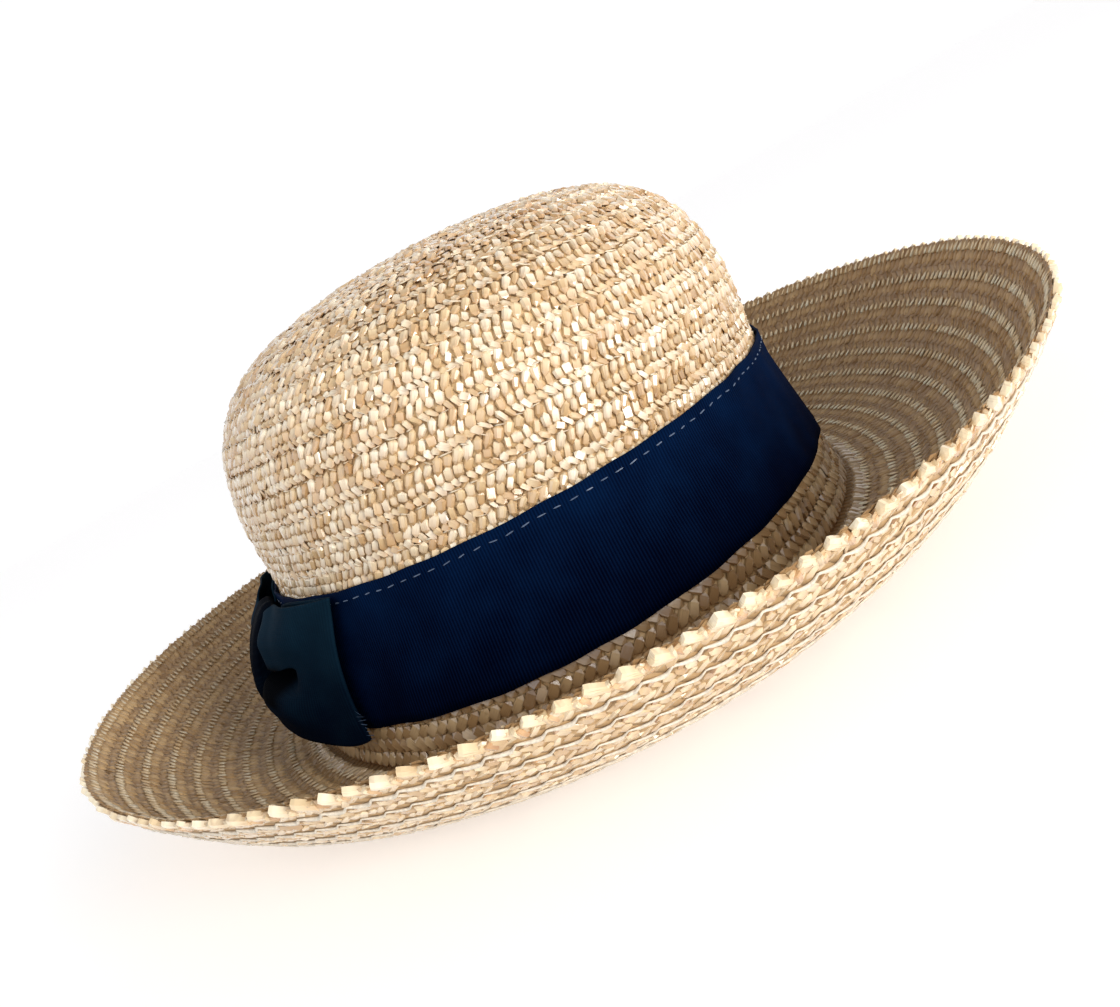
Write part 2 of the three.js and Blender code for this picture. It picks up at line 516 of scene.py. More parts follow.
class Signal:
    """A shader socket that can be used in sums."""

    def __init__(self, graph: "Graph", socket: bpy.types.NodeSocket) -> None:
        """Keeps the socket and the graph it belongs to."""
        self.graph = graph
        self.socket = socket

    def _maths(self, operation: str, first: "Signal | float", second: "Signal | float") -> "Signal":
        """Adds one Math node."""
        return self.graph.node("ShaderNodeMath", {"operation": operation}, {0: first, 1: second})

    def __add__(self, other: "Signal | float") -> "Signal":
        """Adds."""
        return self._maths("ADD", self, other)

    def __sub__(self, other: "Signal | float") -> "Signal":
        """Subtracts."""
        return self._maths("SUBTRACT", self, other)

    def __rsub__(self, other: float) -> "Signal":
        """Subtracts from a number."""
        return self._maths("SUBTRACT", other, self)

    def __mul__(self, other: "Signal | float") -> "Signal":
        """Multiplies."""
        return self._maths("MULTIPLY", self, other)

    def __truediv__(self, other: "Signal | float") -> "Signal":
        """Divides."""
        return self._maths("DIVIDE", self, other)

    def wave(self) -> "Signal":
        """Sine of the value."""
        return self._maths("SINE", self, 0.0)

    def power(self, exponent: float) -> "Signal":
        """Raises the value to a power."""
        return self._maths("POWER", self, exponent)

    def size(self) -> "Signal":
        """The value without its sign."""
        return self._maths("ABSOLUTE", self, 0.0)

    def zigzag(self, top: float) -> "Signal":
        """Runs up to the top and back to 0, over and over."""
        return self._maths("PINGPONG", self, top)

    def between(self, low: float, high: float) -> "Signal":
        """Maps low to 0 and high to 1, and stops there."""
        ends = {0: self, 1: low, 2: high, 3: 0.0, 4: 1.0}
        return self.graph.node("ShaderNodeMapRange", {"clamp": True}, ends)


class Graph:
    """A node tree, with one method that adds a node and short names for the common ones."""

    def __init__(self, tree: bpy.types.NodeTree) -> None:
        """Keeps the tree."""
        self.tree = tree

    def node(self, kind: str, settings: dict | None = None, inputs: dict | None = None,
             output: int | str = 0) -> Signal:
        """Adds a node.

        Args:
            kind: the node's type.
            settings: its properties, set first. "stops" fills a colour ramp.
            inputs: socket name or number to a value or a Signal.
            output: which of its outputs to give back.

        Returns:
            The output.
        """
        made = self.tree.nodes.new(kind)
        for key, value in (settings or {}).items():
            if key == "stops":
                self._fill_ramp(made, value)
            else:
                setattr(made, key, value)
        for key, value in (inputs or {}).items():
            if isinstance(value, Signal):
                self.tree.links.new(value.socket, made.inputs[key])
            else:
                made.inputs[key].default_value = value
        outputs = [socket for socket in made.outputs if socket.enabled]
        chosen = outputs[output] if isinstance(output, int) and outputs else made.outputs.get(str(output))
        return Signal(self, chosen)

    @staticmethod
    def _fill_ramp(made: bpy.types.Node, stops: list[tuple[float, tuple[float, ...]]]) -> None:
        """Sets a colour ramp's stops.

        Args:
            made: the ramp's node.
            stops: place and colour of each stop.
        """
        ramp = made.color_ramp
        while len(ramp.elements) < len(stops):
            ramp.elements.new(0.5)
        for element, (place, colour) in zip(ramp.elements, stops):
            element.position = place
            element.color = colour

    def stored(self, name: str) -> Signal:
        """A number stored on the mesh."""
        return self.node("ShaderNodeAttribute", {"attribute_name": name}, {}, "Fac")

    def place(self) -> Signal:
        """The place on the object."""
        return self.node("ShaderNodeTexCoord", {}, {}, "Object")

    def cloth(self, axis: str) -> Signal:
        """The place on the flat cloth: X along it, Y across it."""
        return self.part(self.node("ShaderNodeUVMap", {"uv_map": "cloth"}, {}), axis)

    def part(self, vector: Signal, axis: str) -> Signal:
        """One part of a vector."""
        return self.node("ShaderNodeSeparateXYZ", {}, {0: vector}, axis)

    def vector(self, x: Signal | float, y: Signal | float, z: Signal | float) -> Signal:
        """Three numbers as one vector."""
        return self.node("ShaderNodeCombineXYZ", {}, {0: x, 1: y, 2: z})

    def noise(self, place: Signal, scale: float, detail: float) -> Signal:
        """Soft noise over a place."""
        return self.node("ShaderNodeTexNoise", {}, {"Vector": place, "Scale": scale, "Detail": detail})

    def bump(self, height: Signal, strength: float, depth: float) -> Signal:
        """A normal that follows a height."""
        return self.node("ShaderNodeBump", {}, {"Strength": strength, "Distance": depth, "Height": height})

    def blend(self, share: Signal | float, first: Signal | tuple, second: Signal | tuple) -> Signal:
        """Mixes two colours, with a share of the second."""
        settings = {"data_type": "RGBA", "blend_type": "MIX", "clamp_factor": True}
        return self.node("ShaderNodeMix", settings, {0: share, 6: first, 7: second})


def linear(part: int) -> float:
    """Makes one part of a screen colour linear, by the standard curve for screens.

    Args:
        part: the part, from 0 to 255.

    Returns:
        The light it stands for, from 0 to 1.
    """
    knee, slope, offset, exponent = 0.04045, 12.92, 0.055, 2.4
    share = part / 255
    return share / slope if share <= knee else ((share + offset) / (1 + offset)) ** exponent


def paint(red: int, green: int, blue: int) -> tuple[float, float, float, float]:
    """Turns a screen colour from 0 to 255 into linear parts and an alpha of 1."""
    return linear(red), linear(green), linear(blue), 1.0


def start_material(name: str) -> tuple[bpy.types.Material, Graph]:
    """Makes an empty material.

    Args:
        name: its name.

    Returns:
        The material and its graph.
    """
    material = bpy.data.materials.new(name)
    material.use_nodes = True
    material.node_tree.nodes.clear()
    return material, Graph(material.node_tree)


def end_material(graph: Graph, inputs: dict) -> None:
    """Adds the surface shader, with what its sockets take, and the output."""
    shader = graph.node("ShaderNodeBsdfPrincipled", {}, inputs)
    graph.node("ShaderNodeOutputMaterial", {}, {"Surface": shader}, "none")


# Finishes


@dataclass(frozen=True)
class StrawFinish:
    """Bleached straw: each splint has its own tone and a browner tail, and may get painted shade toward +X,
    as if the light fell from the -X side.

    A pair of numbers for a noise gives its scale and its detail.
    """

    name: str
    pale: Paint = (246, 233, 206)
    warm: Paint = (229, 202, 157)
    deep: Paint = (190, 146, 96)
    knot: Paint = (146, 100, 60)
    # Painted shade toward +X: its colour, where along X it rises, and how strong it is.
    dull: Paint = (160, 128, 88)
    dull_window: Window = (-30 * MM, 70 * MM)
    dull_share: float = 0.0
    roughness: float = 0.22
    tone_roughness: float = 0.14
    shine: float = 1.0
    shine_roughness: float = 0.2
    gloss: float = 0.5
    patches: tuple[float, float] = (38.0, 3.0)
    fibres: tuple[float, float] = (1.0, 2.0)
    fibre_stretch: tuple[float, float] = (9.0, 1.6)
    fibre_shift: tuple[float, float] = (71.0, 37.0)
    tone_weight: float = 0.75
    patch_weight: float = 0.5
    mix_drop: float = 0.12
    warm_at: float = 0.36
    pale_at: float = 0.75
    tail_window: Window = (0.35, 0.95)
    tail_share: float = 0.75
    streak_window: Window = (0.56, 0.72)
    streak_share: float = 0.4
    bump_strength: float = 0.3
    bump_depth: float = 0.2 * MM

    def fibre(self, graph: Graph, tone: Signal) -> Signal:
        """Draws the fine fibres along each splint, different from splint to splint.

        Args:
            graph: the material's graph.
            tone: the splint's own number.

        Returns:
            The fibres' strength.
        """
        across = graph.stored("side") * self.fibre_stretch[0] + tone * self.fibre_shift[0]
        along = graph.stored("reach") * self.fibre_stretch[1]
        return graph.noise(graph.vector(across, along, tone * self.fibre_shift[1]), *self.fibres)

    def colour(self, graph: Graph, tone: Signal, fibre: Signal) -> Signal:
        """Mixes the straw's colour.

        Args:
            graph: the material's graph.
            tone: the splint's own number.
            fibre: the fibres' strength.

        Returns:
            The colour.
        """
        place = graph.place()
        patches = graph.noise(place, *self.patches) * self.patch_weight
        mixed = tone * self.tone_weight + patches - self.mix_drop
        steps = ((0.0, self.deep), (self.warm_at, self.warm), (self.pale_at, self.pale), (1.0, self.pale))
        stops = [(at, paint(*colour)) for at, colour in steps]
        straw = graph.node("ShaderNodeValToRGB", {"stops": stops}, {0: mixed})
        tail = (1.0 - graph.stored("reach")).between(*self.tail_window) * self.tail_share
        shaded = graph.blend(tail, straw, paint(*self.deep))
        streaks = fibre.between(*self.streak_window) * self.streak_share
        colour = graph.blend(streaks, shaded, paint(*self.knot))
        # Painted shade: the straw darkens toward +X, as if the light fell from the -X side.
        if self.dull_share > 0:
            painted_side_shaded = graph.part(place, "X").between(*self.dull_window) * self.dull_share
            colour = graph.blend(painted_side_shaded, colour, paint(*self.dull))
        return colour

    def material(self) -> bpy.types.Material:
        """Builds the material.

        Returns:
            The material.
        """
        material, graph = start_material(self.name)
        tone = graph.stored("tone")
        fibre = self.fibre(graph, tone)
        end_material(graph, {
            "Base Color": self.colour(graph, tone, fibre),
            "Roughness": tone * self.tone_roughness + self.roughness,
            "Normal": graph.bump(fibre, self.bump_strength, self.bump_depth),
            "Coat Weight": self.shine,
            "Coat Roughness": self.shine_roughness,
            "Specular IOR Level": self.gloss,
        })
        return material


@dataclass(frozen=True)
class PlaitFinish:
    """The plait's back, drawn on a smooth wall: slanting splints in sewn rows.

    A pair of numbers for a noise gives its scale and its detail.
    """

    name: str
    pale: Paint = (218, 184, 134)
    deep: Paint = (172, 128, 82)
    roughness: float = 0.5
    half_row: float = 0.5
    slant: float = 2.0
    splint_power: float = 0.5
    row_power: float = 0.6
    row_weight: float = 0.6
    patches: tuple[float, float] = (160.0, 4.0)
    patch_weight: float = 0.3
    pale_window: Window = (0.25, 1.2)
    bump_strength: float = 0.9
    bump_depth: float = 0.9 * MM

    def material(self) -> bpy.types.Material:
        """Builds the material.

        Returns:
            The material.
        """
        material, graph = start_material(self.name)
        across = graph.cloth("Y")
        row = (across * (FULL_TURN / 2)).wave().size()
        slanted = graph.cloth("X") + across.zigzag(self.half_row) * self.slant
        splint = (slanted * (FULL_TURN / 2)).wave().size()
        rows = splint.power(self.splint_power) * self.row_weight + row.power(self.row_power) * self.row_weight
        height = rows + graph.noise(graph.place(), *self.patches) * self.patch_weight
        paleness = height.between(*self.pale_window)
        end_material(graph, {
            "Base Color": graph.blend(paleness, paint(*self.deep), paint(*self.pale)),
            "Roughness": self.roughness,
            "Normal": graph.bump(height, self.bump_strength, self.bump_depth),
        })
        return material


@dataclass(frozen=True)
class RibbonFinish:
    """Grosgrain ribbon: fine ribs across the ribbon, quite matt, lighter toward its top edge by painted
    light, and darker by painted shade where a shade is stored.

    A pair of numbers for a noise gives its scale and its detail.
    """

    name: str
    dark: Paint = (0, 2, 20)
    light: Paint = (7, 35, 72)
    # Painted shade: the colour mixed in by the stored shade, for the bow's pleat pocket, the strip beside its
    # knot and the knot.
    fold: Paint = (1, 2, 5)
    width: float = 31.3 * MM
    rib_pitch: float = 0.8 * MM
    thread_pitch: float = 0.4 * MM
    rib_share: float = 0.8
    thread_share: float = 0.15
    fuzz: tuple[float, float] = (2600.0, 2.0)
    fuzz_share: float = 0.3
    worn: tuple[float, float] = (90.0, 4.0)
    worn_weight: float = 0.5
    height_weight: float = 0.4
    # Painted light: the cloth grows lighter from its lower edge toward its top edge, as if lit from above.
    edge_window: Window = (0.05, 0.95)
    edge_share: float = 0.25
    mix_drop: float = 0.42
    light_window: Window = (0.0, 0.8)
    shine: float = 0.01
    roughness: float = 0.62
    worn_roughness: float = 0.15
    bump_strength: float = 0.5
    bump_depth: float = 0.2 * MM

    def material(self) -> bpy.types.Material:
        """Builds the material.

        Returns:
            The material.
        """
        material, graph = start_material(self.name)
        place = graph.place()
        across = graph.cloth("Y")
        rib = ((graph.cloth("X") * (FULL_TURN / self.rib_pitch)).wave() + 1.0) / 2.0
        thread = ((across * (FULL_TURN / self.thread_pitch)).wave() + 1.0) / 2.0
        fuzz = graph.noise(place, *self.fuzz)
        worn = graph.noise(place, *self.worn)
        height = rib * self.rib_share + thread * self.thread_share + fuzz * self.fuzz_share
        # Painted light: 0 at the ribbon's lower edge, 1 at its top edge.
        edge = (across / self.width).between(*self.edge_window)
        mixed = height * self.height_weight + worn * self.worn_weight + edge * self.edge_share - self.mix_drop
        cloth = graph.blend(mixed.between(*self.light_window), paint(*self.dark), paint(*self.light))
        end_material(graph, {
            # Painted shade: the cloth darkens toward the painted shade colour by the stored shade.
            "Base Color": graph.blend(graph.stored("shade"), cloth, paint(*self.fold)),
            "Roughness": worn * self.worn_roughness + self.roughness,
            "Normal": graph.bump(height, self.bump_strength, self.bump_depth),
            "Specular IOR Level": self.shine,
        })
        return material


@dataclass(frozen=True)
class ThreadFinish:
    """Plain sewing thread. The pair of numbers for its twist gives a noise's scale and detail."""

    name: str
    colour: Paint
    roughness: float = 0.45
    dark_share: float = 0.72
    twist: tuple[float, float] = (1800.0, 1.0)
    bump_strength: float = 0.4
    bump_depth: float = 0.1 * MM

    def material(self) -> bpy.types.Material:
        """Builds the material.

        Returns:
            The material.
        """
        material, graph = start_material(self.name)
        twist = graph.noise(graph.place(), *self.twist)
        darker = (int(part * self.dark_share) for part in self.colour)
        end_material(graph, {
            "Base Color": graph.blend(twist, paint(*darker), paint(*self.colour)),
            "Roughness": self.roughness,
            "Normal": graph.bump(twist, self.bump_strength, self.bump_depth),
        })
        return material


# Splints, laid by geometry nodes


class SplintKind(Enum):
    """The forms that a straw splint shows in the plait."""

    GRAIN = "grain"
    CHIP = "chip"
    FOLD = "fold"
    SLIVER = "sliver"


@dataclass(frozen=True)
class SplintForm:
    """One splint as a closed form of unit length, width and thickness, its head toward +Y."""

    section: tuple[tuple[float, float], ...]
    stations: tuple[tuple[float, float, float], ...]
    head: tuple[float, float]
    tail: tuple[float, float]
    smooth: bool = False

    def build(self, name: str) -> bpy.types.Object:
        """Makes the splint's mesh.

        Args:
            name: the object's name.

        Returns:
            The object, hidden from renders.
        """
        points = [(0.0, *self.head)]
        for along, half, top in self.stations:
            points += [(half * across, along, top * rise) for across, rise in self.section]
        points.append((0.0, *self.tail))
        thing = new_mesh(name, np.array(points), self.faces(len(points) - 1), self.smooth)
        face_out(thing)
        store(thing, "side", [0.5 + point[0] for point in points])
        store(thing, "reach", [0.5 + point[1] for point in points])
        thing.hide_render = True
        return thing

    def faces(self, last: int) -> list[tuple[int, ...]]:
        """Lists the faces between the head, the stations and the tail.

        Args:
            last: number of the tail's point.

        Returns:
            The faces, as rows of point numbers.
        """
        sides = len(self.section)
        start_of_last = last - sides
        faces: list[tuple[int, ...]] = []
        for side in range(sides):
            beside = (side + 1) % sides
            faces.append((0, 1 + side, 1 + beside))
            for start in range(1, start_of_last, sides):
                below = start + sides
                faces.append((start + side, below + side, below + beside, start + beside))
            faces.append((last, start_of_last + beside, start_of_last + side))
        return faces


FLAT_TOP = ((-1.0, 0.0), (-0.86, 0.62), (-0.4, 1.0), (0.4, 1.0), (0.86, 0.62), (1.0, 0.0))
BENT_TOP = ((-1.0, 0.0), (-0.82, 1.0), (0.74, 0.68), (1.0, 0.0))
ROUND_TOP = ((-1.0, 0.0), (-0.9, 0.78), (0.0, 1.0), (0.9, 0.78), (1.0, 0.0))
RIDGE_TOP = ((-1.0, 0.0), (0.0, 1.0), (1.0, 0.0))

SPLINT_FORMS = {
    SplintKind.GRAIN: SplintForm(
        FLAT_TOP, ((0.22, 0.5, 1.0), (-0.26, 0.38, 0.78)), (0.5, 0.42), (-0.5, 0.25)),
    SplintKind.CHIP: SplintForm(
        BENT_TOP, ((0.28, 0.47, 1.0), (-0.3, 0.45, 0.75)), (0.5, 0.4), (-0.5, 0.25)),
    SplintKind.FOLD: SplintForm(
        ROUND_TOP, ((0.47, 0.45, 0.9), (0.3, 0.5, 1.0), (-0.44, 0.4, 0.88)), (0.5, 0.5), (-0.5, 0.5)),
    SplintKind.SLIVER: SplintForm(
        RIDGE_TOP, ((0.25, 0.5, 1.0), (-0.2, 0.4, 0.9)), (0.5, 0.2), (-0.5, 0.2), smooth=True),
}


@dataclass(frozen=True)
class SplintLay:
    """How the splints of one lane lie: sizes in millimetres, angles in degrees, tones from 0 to 1."""

    name: str
    kind: SplintKind
    place: float
    pitch: float
    length: float
    width: float
    thickness: float
    lean: float
    tilt: float
    lift: float
    seed: int
    loose: float = 1.0
    tones: Window = (0.0, 1.0)

    @property
    def step(self) -> float:
        """Distance from splint to splint, in metres."""
        return self.pitch * MM


SPREADS = {
    "tilt": (-0.12, 0.12), "roll": (-0.22, 0.22), "lean": (-0.17, 0.17),
    "width": (-0.18, 0.14), "length": (-0.16, 0.12), "thickness": (-0.3, 0.25),
    "around": (-0.24 * MM, 0.24 * MM), "along": (-0.32 * MM, 0.32 * MM), "out": (-0.1 * MM, 0.14 * MM),
}


class SplintLayer:
    """Lays one splint on each guide point, turned to the face and varied at random."""

    numbers = ("Length", "Width", "Thickness", "Lean", "Tilt", "Loose", "Lowest Tone", "Highest Tone")

    def __init__(self) -> None:
        """Builds the splint forms and the node tree."""
        self.forms = {kind: form.build("splint_" + kind.value) for kind, form in SPLINT_FORMS.items()}
        self.sockets: dict[str, str] = {}
        self.tree = bpy.data.node_groups.new("lay_splints", "GeometryNodeTree")
        self.graph = Graph(self.tree)
        self._add_sockets()
        entry = self.graph.node("NodeGroupInput").socket.node
        self.given = {name: Signal(self.graph, entry.outputs[name]) for name in self.sockets}
        self._wire()

    def _add_sockets(self) -> None:
        """Adds the tree's inputs, keeps their identifiers and adds its output."""
        kinds = {"Guides": "Geometry", "Splint": "Object"}
        kinds |= {name: "Float" for name in self.numbers}
        kinds |= {"Seed": "Int", "Finish": "Material"}
        new_socket = self.tree.interface.new_socket
        for name, kind in kinds.items():
            made = new_socket(name=name, in_out="INPUT", socket_type="NodeSocket" + kind)
            self.sockets[name] = made.identifier
        new_socket(name="Mesh", in_out="OUTPUT", socket_type="NodeSocketGeometry")

    def _draw(self, low: Signal | float, high: Signal | float, step: int) -> Signal:
        """Draws a random number for each splint, from a seed of its own."""
        inputs = {"Min": low, "Max": high, "Seed": self.given["Seed"] + float(step)}
        return self.graph.node("FunctionNodeRandomValue", {"data_type": "FLOAT"}, inputs)

    def _vary(self, name: str) -> Signal:
        """Draws one of the spreads, scaled by how loose the splints lie."""
        step = list(SPREADS).index(name) + 1
        return self._draw(*SPREADS[name], step) * self.given["Loose"]

    def _guide(self, name: str) -> Signal:
        """A direction stored on the guide points."""
        settings = {"data_type": "FLOAT_VECTOR"}
        return self.graph.node("GeometryNodeInputNamedAttribute", settings, {"Name": name})

    def _rotation(self) -> Signal:
        """Turns each splint to its face, then leans and tilts it.

        Returns:
            The rotation.
        """
        graph, given = self.graph, self.given
        axes = {"primary_axis": "Z", "secondary_axis": "X"}
        ways = {0: self._guide("out"), 1: self._guide("around")}
        facing = graph.node("FunctionNodeAxesToRotation", axes, ways)
        turn = graph.vector(given["Tilt"] + self._vary("tilt"), self._vary("roll"),
                            given["Lean"] + self._vary("lean"))
        local = graph.node("FunctionNodeEulerToRotation", {}, {0: turn})
        return graph.node("FunctionNodeRotateRotation", {"rotation_space": "LOCAL"}, {0: facing, 1: local})

    def _wire(self) -> None:
        """Wires the tree: guide points in, one plain mesh out."""
        graph, given = self.graph, self.given
        size = graph.vector(*(given[name] * (self._vary(name.lower()) + 1.0)
                              for name in ("Width", "Length", "Thickness")))
        form = graph.node("GeometryNodeObjectInfo", {"transform_space": "ORIGINAL"},
                          {"Object": given["Splint"]}, "Geometry")
        laid = graph.node("GeometryNodeInstanceOnPoints", {}, {
            "Points": given["Guides"], "Instance": form, "Rotation": self._rotation(), "Scale": size})
        shift = graph.vector(self._vary("around"), self._vary("along"), self._vary("out"))
        moved = graph.node("GeometryNodeTranslateInstances", {}, {"Instances": laid, "Translation": shift})
        tone = self._draw(given["Lowest Tone"], given["Highest Tone"], len(SPREADS) + 1)
        toned = graph.node("GeometryNodeStoreNamedAttribute", {"data_type": "FLOAT", "domain": "INSTANCE"},
                           {"Geometry": moved, "Name": "tone", "Value": tone})
        real = graph.node("GeometryNodeRealizeInstances", {}, {"Geometry": toned})
        dressed = graph.node("GeometryNodeSetMaterial", {}, {"Geometry": real, "Material": given["Finish"]})
        graph.node("NodeGroupOutput", {}, {"Mesh": dressed}, "none")

    def lay(self, places: Stance, lay: SplintLay, finish: bpy.types.Material, slot: str) -> None:
        """Lays a lane's splints and makes them a piece of the hat.

        Args:
            places: where the splints lie.
            lay: their name, sizes and slant.
            finish: their material.
            slot: not used.
        """
        stand = places.lifted(lay.lift * MM)
        guides = new_mesh(lay.name + "_guides", stand.point, [])
        store(guides, "around", stand.around)
        store(guides, "out", stand.out)
        modifier = guides.modifiers.new("splints", "NODES")
        modifier.node_group = self.tree
        numbers = (lay.length * MM, lay.width * MM, lay.thickness * MM,
                   math.radians(lay.lean), math.radians(lay.tilt), lay.loose, *lay.tones)
        values = dict(zip(self.numbers, numbers))
        values |= {"Splint": self.forms[lay.kind], "Seed": lay.seed, "Finish": finish}
        for key, value in values.items():
            modifier[self.sockets[key]] = value
        guides.update_tag()
        seen = guides.evaluated_get(bpy.context.evaluated_depsgraph_get())
        mesh = bpy.data.meshes.new_from_object(seen)
        mesh.name = lay.name
        bpy.data.objects.remove(guides)
        settle(add_object(lay.name, mesh))

    def clear(self) -> None:
        """Removes the splint forms, which aren't part of the hat."""
        for form in self.forms.values():
            bpy.data.objects.remove(form)


# The straw


@dataclass(frozen=True)
class CrownBraid:
    """The crown: a wall of plait with lanes of straw on it, and flat folds on the rows at its foot."""

    shape: HatShape
    layer: SplintLayer
    straw: bpy.types.Material
    # Finish of the rows at the crown's foot: a darker copy of the straw, painted shade under the ribbon.
    foot: bpy.types.Material
    wall: bpy.types.Material
    wall_sink: float = 0.62 * MM
    sides: int = 160
    rings_per_row: int = 4
    row_relief: float = 0.25 * MM
    row_turn: float = 0.37
    row_sway: float = 0.1
    sways: int = 3
    fewest: int = 3
    highest: float = 0.998
    tip_gap: float = 0.15
    mean_spread: float = 0.85
    foot_rows: tuple[int, ...] = (0, 1, 2)
    hidden_rows: tuple[int, ...] = (3, 4, 5)
    lanes: tuple[SplintLay, ...] = (
        SplintLay("crown_grains", SplintKind.GRAIN, place=0.7, pitch=2.4, length=4.1, width=2.35,
                  thickness=0.95, lean=-27, tilt=-8, lift=-0.6, seed=11, loose=1.4),
        SplintLay("crown_lozenges", SplintKind.CHIP, place=0.34, pitch=2.3, length=3.3, width=2.1,
                  thickness=0.85, lean=-18, tilt=-9, lift=-0.6, seed=17, loose=1.7, tones=(0.0, 0.9)),
        SplintLay("crown_chips", SplintKind.CHIP, place=0.03, pitch=1.9, length=3.0, width=1.8,
                  thickness=0.7, lean=46, tilt=-6, lift=-0.4, seed=23, loose=1.9),
        SplintLay("crown_slivers", SplintKind.SLIVER, place=0.9, pitch=4.2, length=3.2, width=0.45,
                  thickness=0.35, lean=70, tilt=0, lift=0.0, seed=37, loose=2.4, tones=(0.55, 1.0)),
    )
    foot_lanes: tuple[SplintLay, ...] = (
        SplintLay("crown_foot_folds", SplintKind.CHIP, place=0.27, pitch=2.9, length=4.6, width=2.9,
                  thickness=0.7, lean=-42, tilt=-3, lift=-0.35, seed=91, loose=0.8),
        SplintLay("crown_foot_backs", SplintKind.CHIP, place=0.78, pitch=2.9, length=4.6, width=2.9,
                  thickness=0.7, lean=42, tilt=-3, lift=-0.35, seed=93, loose=0.8),
    )

    def lane(self, lay: SplintLay, used: Iterable[int]) -> Stance:
        """Finds where the splints of one lane lie on the rows.

        Args:
            lay: the lane's splints.
            used: the numbers of the rows, from the crown's foot.

        Returns:
            The places.
        """
        shares, spreads, _ = self.shape.crown_table()
        rows = []
        for row in used:
            along = (row + lay.place) / self.shape.crown_rows
            spread = float(np.interp(along, shares, spreads))
            count = max(self.fewest, round(self.shape.girth(spread, 0.0) / lay.step))
            angle = self.shape.angle_at(spread, 0.0, (np.arange(count) + row * self.row_turn) / count)
            sway = np.sin(self.sways * angle + row) * self.row_sway / self.shape.crown_rows * spread
            rows.append(stand_on(self.shape.crown_point, angle, np.minimum(along + sway, self.highest)))
        return gather(rows)

    def wall_rings(self, along: Array) -> Array:
        """Finds the wall's rings, from under the tip down its inside and up its outside.

        Args:
            along: the rings' shares of the way up the outline.

        Returns:
            The points as rings x sides x 3.
        """
        grid_angle, grid_along = np.meshgrid(turns(self.sides), along)
        stance = stand_on(self.shape.crown_point, grid_angle.ravel(), grid_along.ravel())
        ridge = np.sin(math.pi * (grid_along * self.shape.crown_rows % 1.0)).ravel()
        hollow = self.row_relief * (1 - ridge)
        outer = stance.lifted(-self.wall_sink - hollow).point.reshape(*grid_angle.shape, 3)
        inner = stance.lifted(-self.shape.straw + hollow).point.reshape(*grid_angle.shape, 3)
        tip = np.broadcast_to(self.shape.crown_point(np.array(0.0), np.array(1.0)), (1, self.sides, 3))
        under = tip - np.array([0, 0, self.shape.straw])
        over = tip - np.array([0, 0, self.wall_sink])
        return np.concatenate([under, inner[::-1], outer, over])

    def build_wall(self) -> bpy.types.Object:
        """Makes the wall behind the splints, which is also the crown's inside.

        Returns:
            The wall.
        """
        rows = self.shape.crown_rows
        steps = rows * self.rings_per_row
        along = np.arange(steps + 1) / steps
        along[-1] = 1 - self.tip_gap / rows
        across = np.concatenate([[rows], (along * rows)[::-1], along * rows, [rows], [rows]])
        splints = round(self.shape.girth(self.mean_spread, 0) / self.lanes[0].step)
        uv = pairs(np.linspace(0, splints, self.sides + 1)[None, :], across[:, None])
        wall = lofted("crown_wall", self.wall_rings(along), False, uv)
        weld(wall)
        return dress(wall, self.wall)

    def build(self) -> None:
        """Builds the crown's pieces."""
        settle(self.build_wall(), ("crown",))
        bare = (*self.foot_rows, *self.hidden_rows)
        upper = [row for row in range(self.shape.crown_rows) if row not in bare]
        for lay in self.lanes:
            self.layer.lay(self.lane(lay, upper), lay, self.straw, "straw_crown")
        for lay in self.foot_lanes:
            self.layer.lay(self.lane(lay, self.foot_rows), lay, self.foot, "straw_crown")


@dataclass(frozen=True)
class BrimPaints:
    """The finishes of the brim's pieces."""

    top: bpy.types.Material
    tick: bpy.types.Material
    seam: bpy.types.Material
    under: bpy.types.Material
    cap: bpy.types.Material
    facet: bpy.types.Material
    wall: bpy.types.Material
    thread: bpy.types.Material


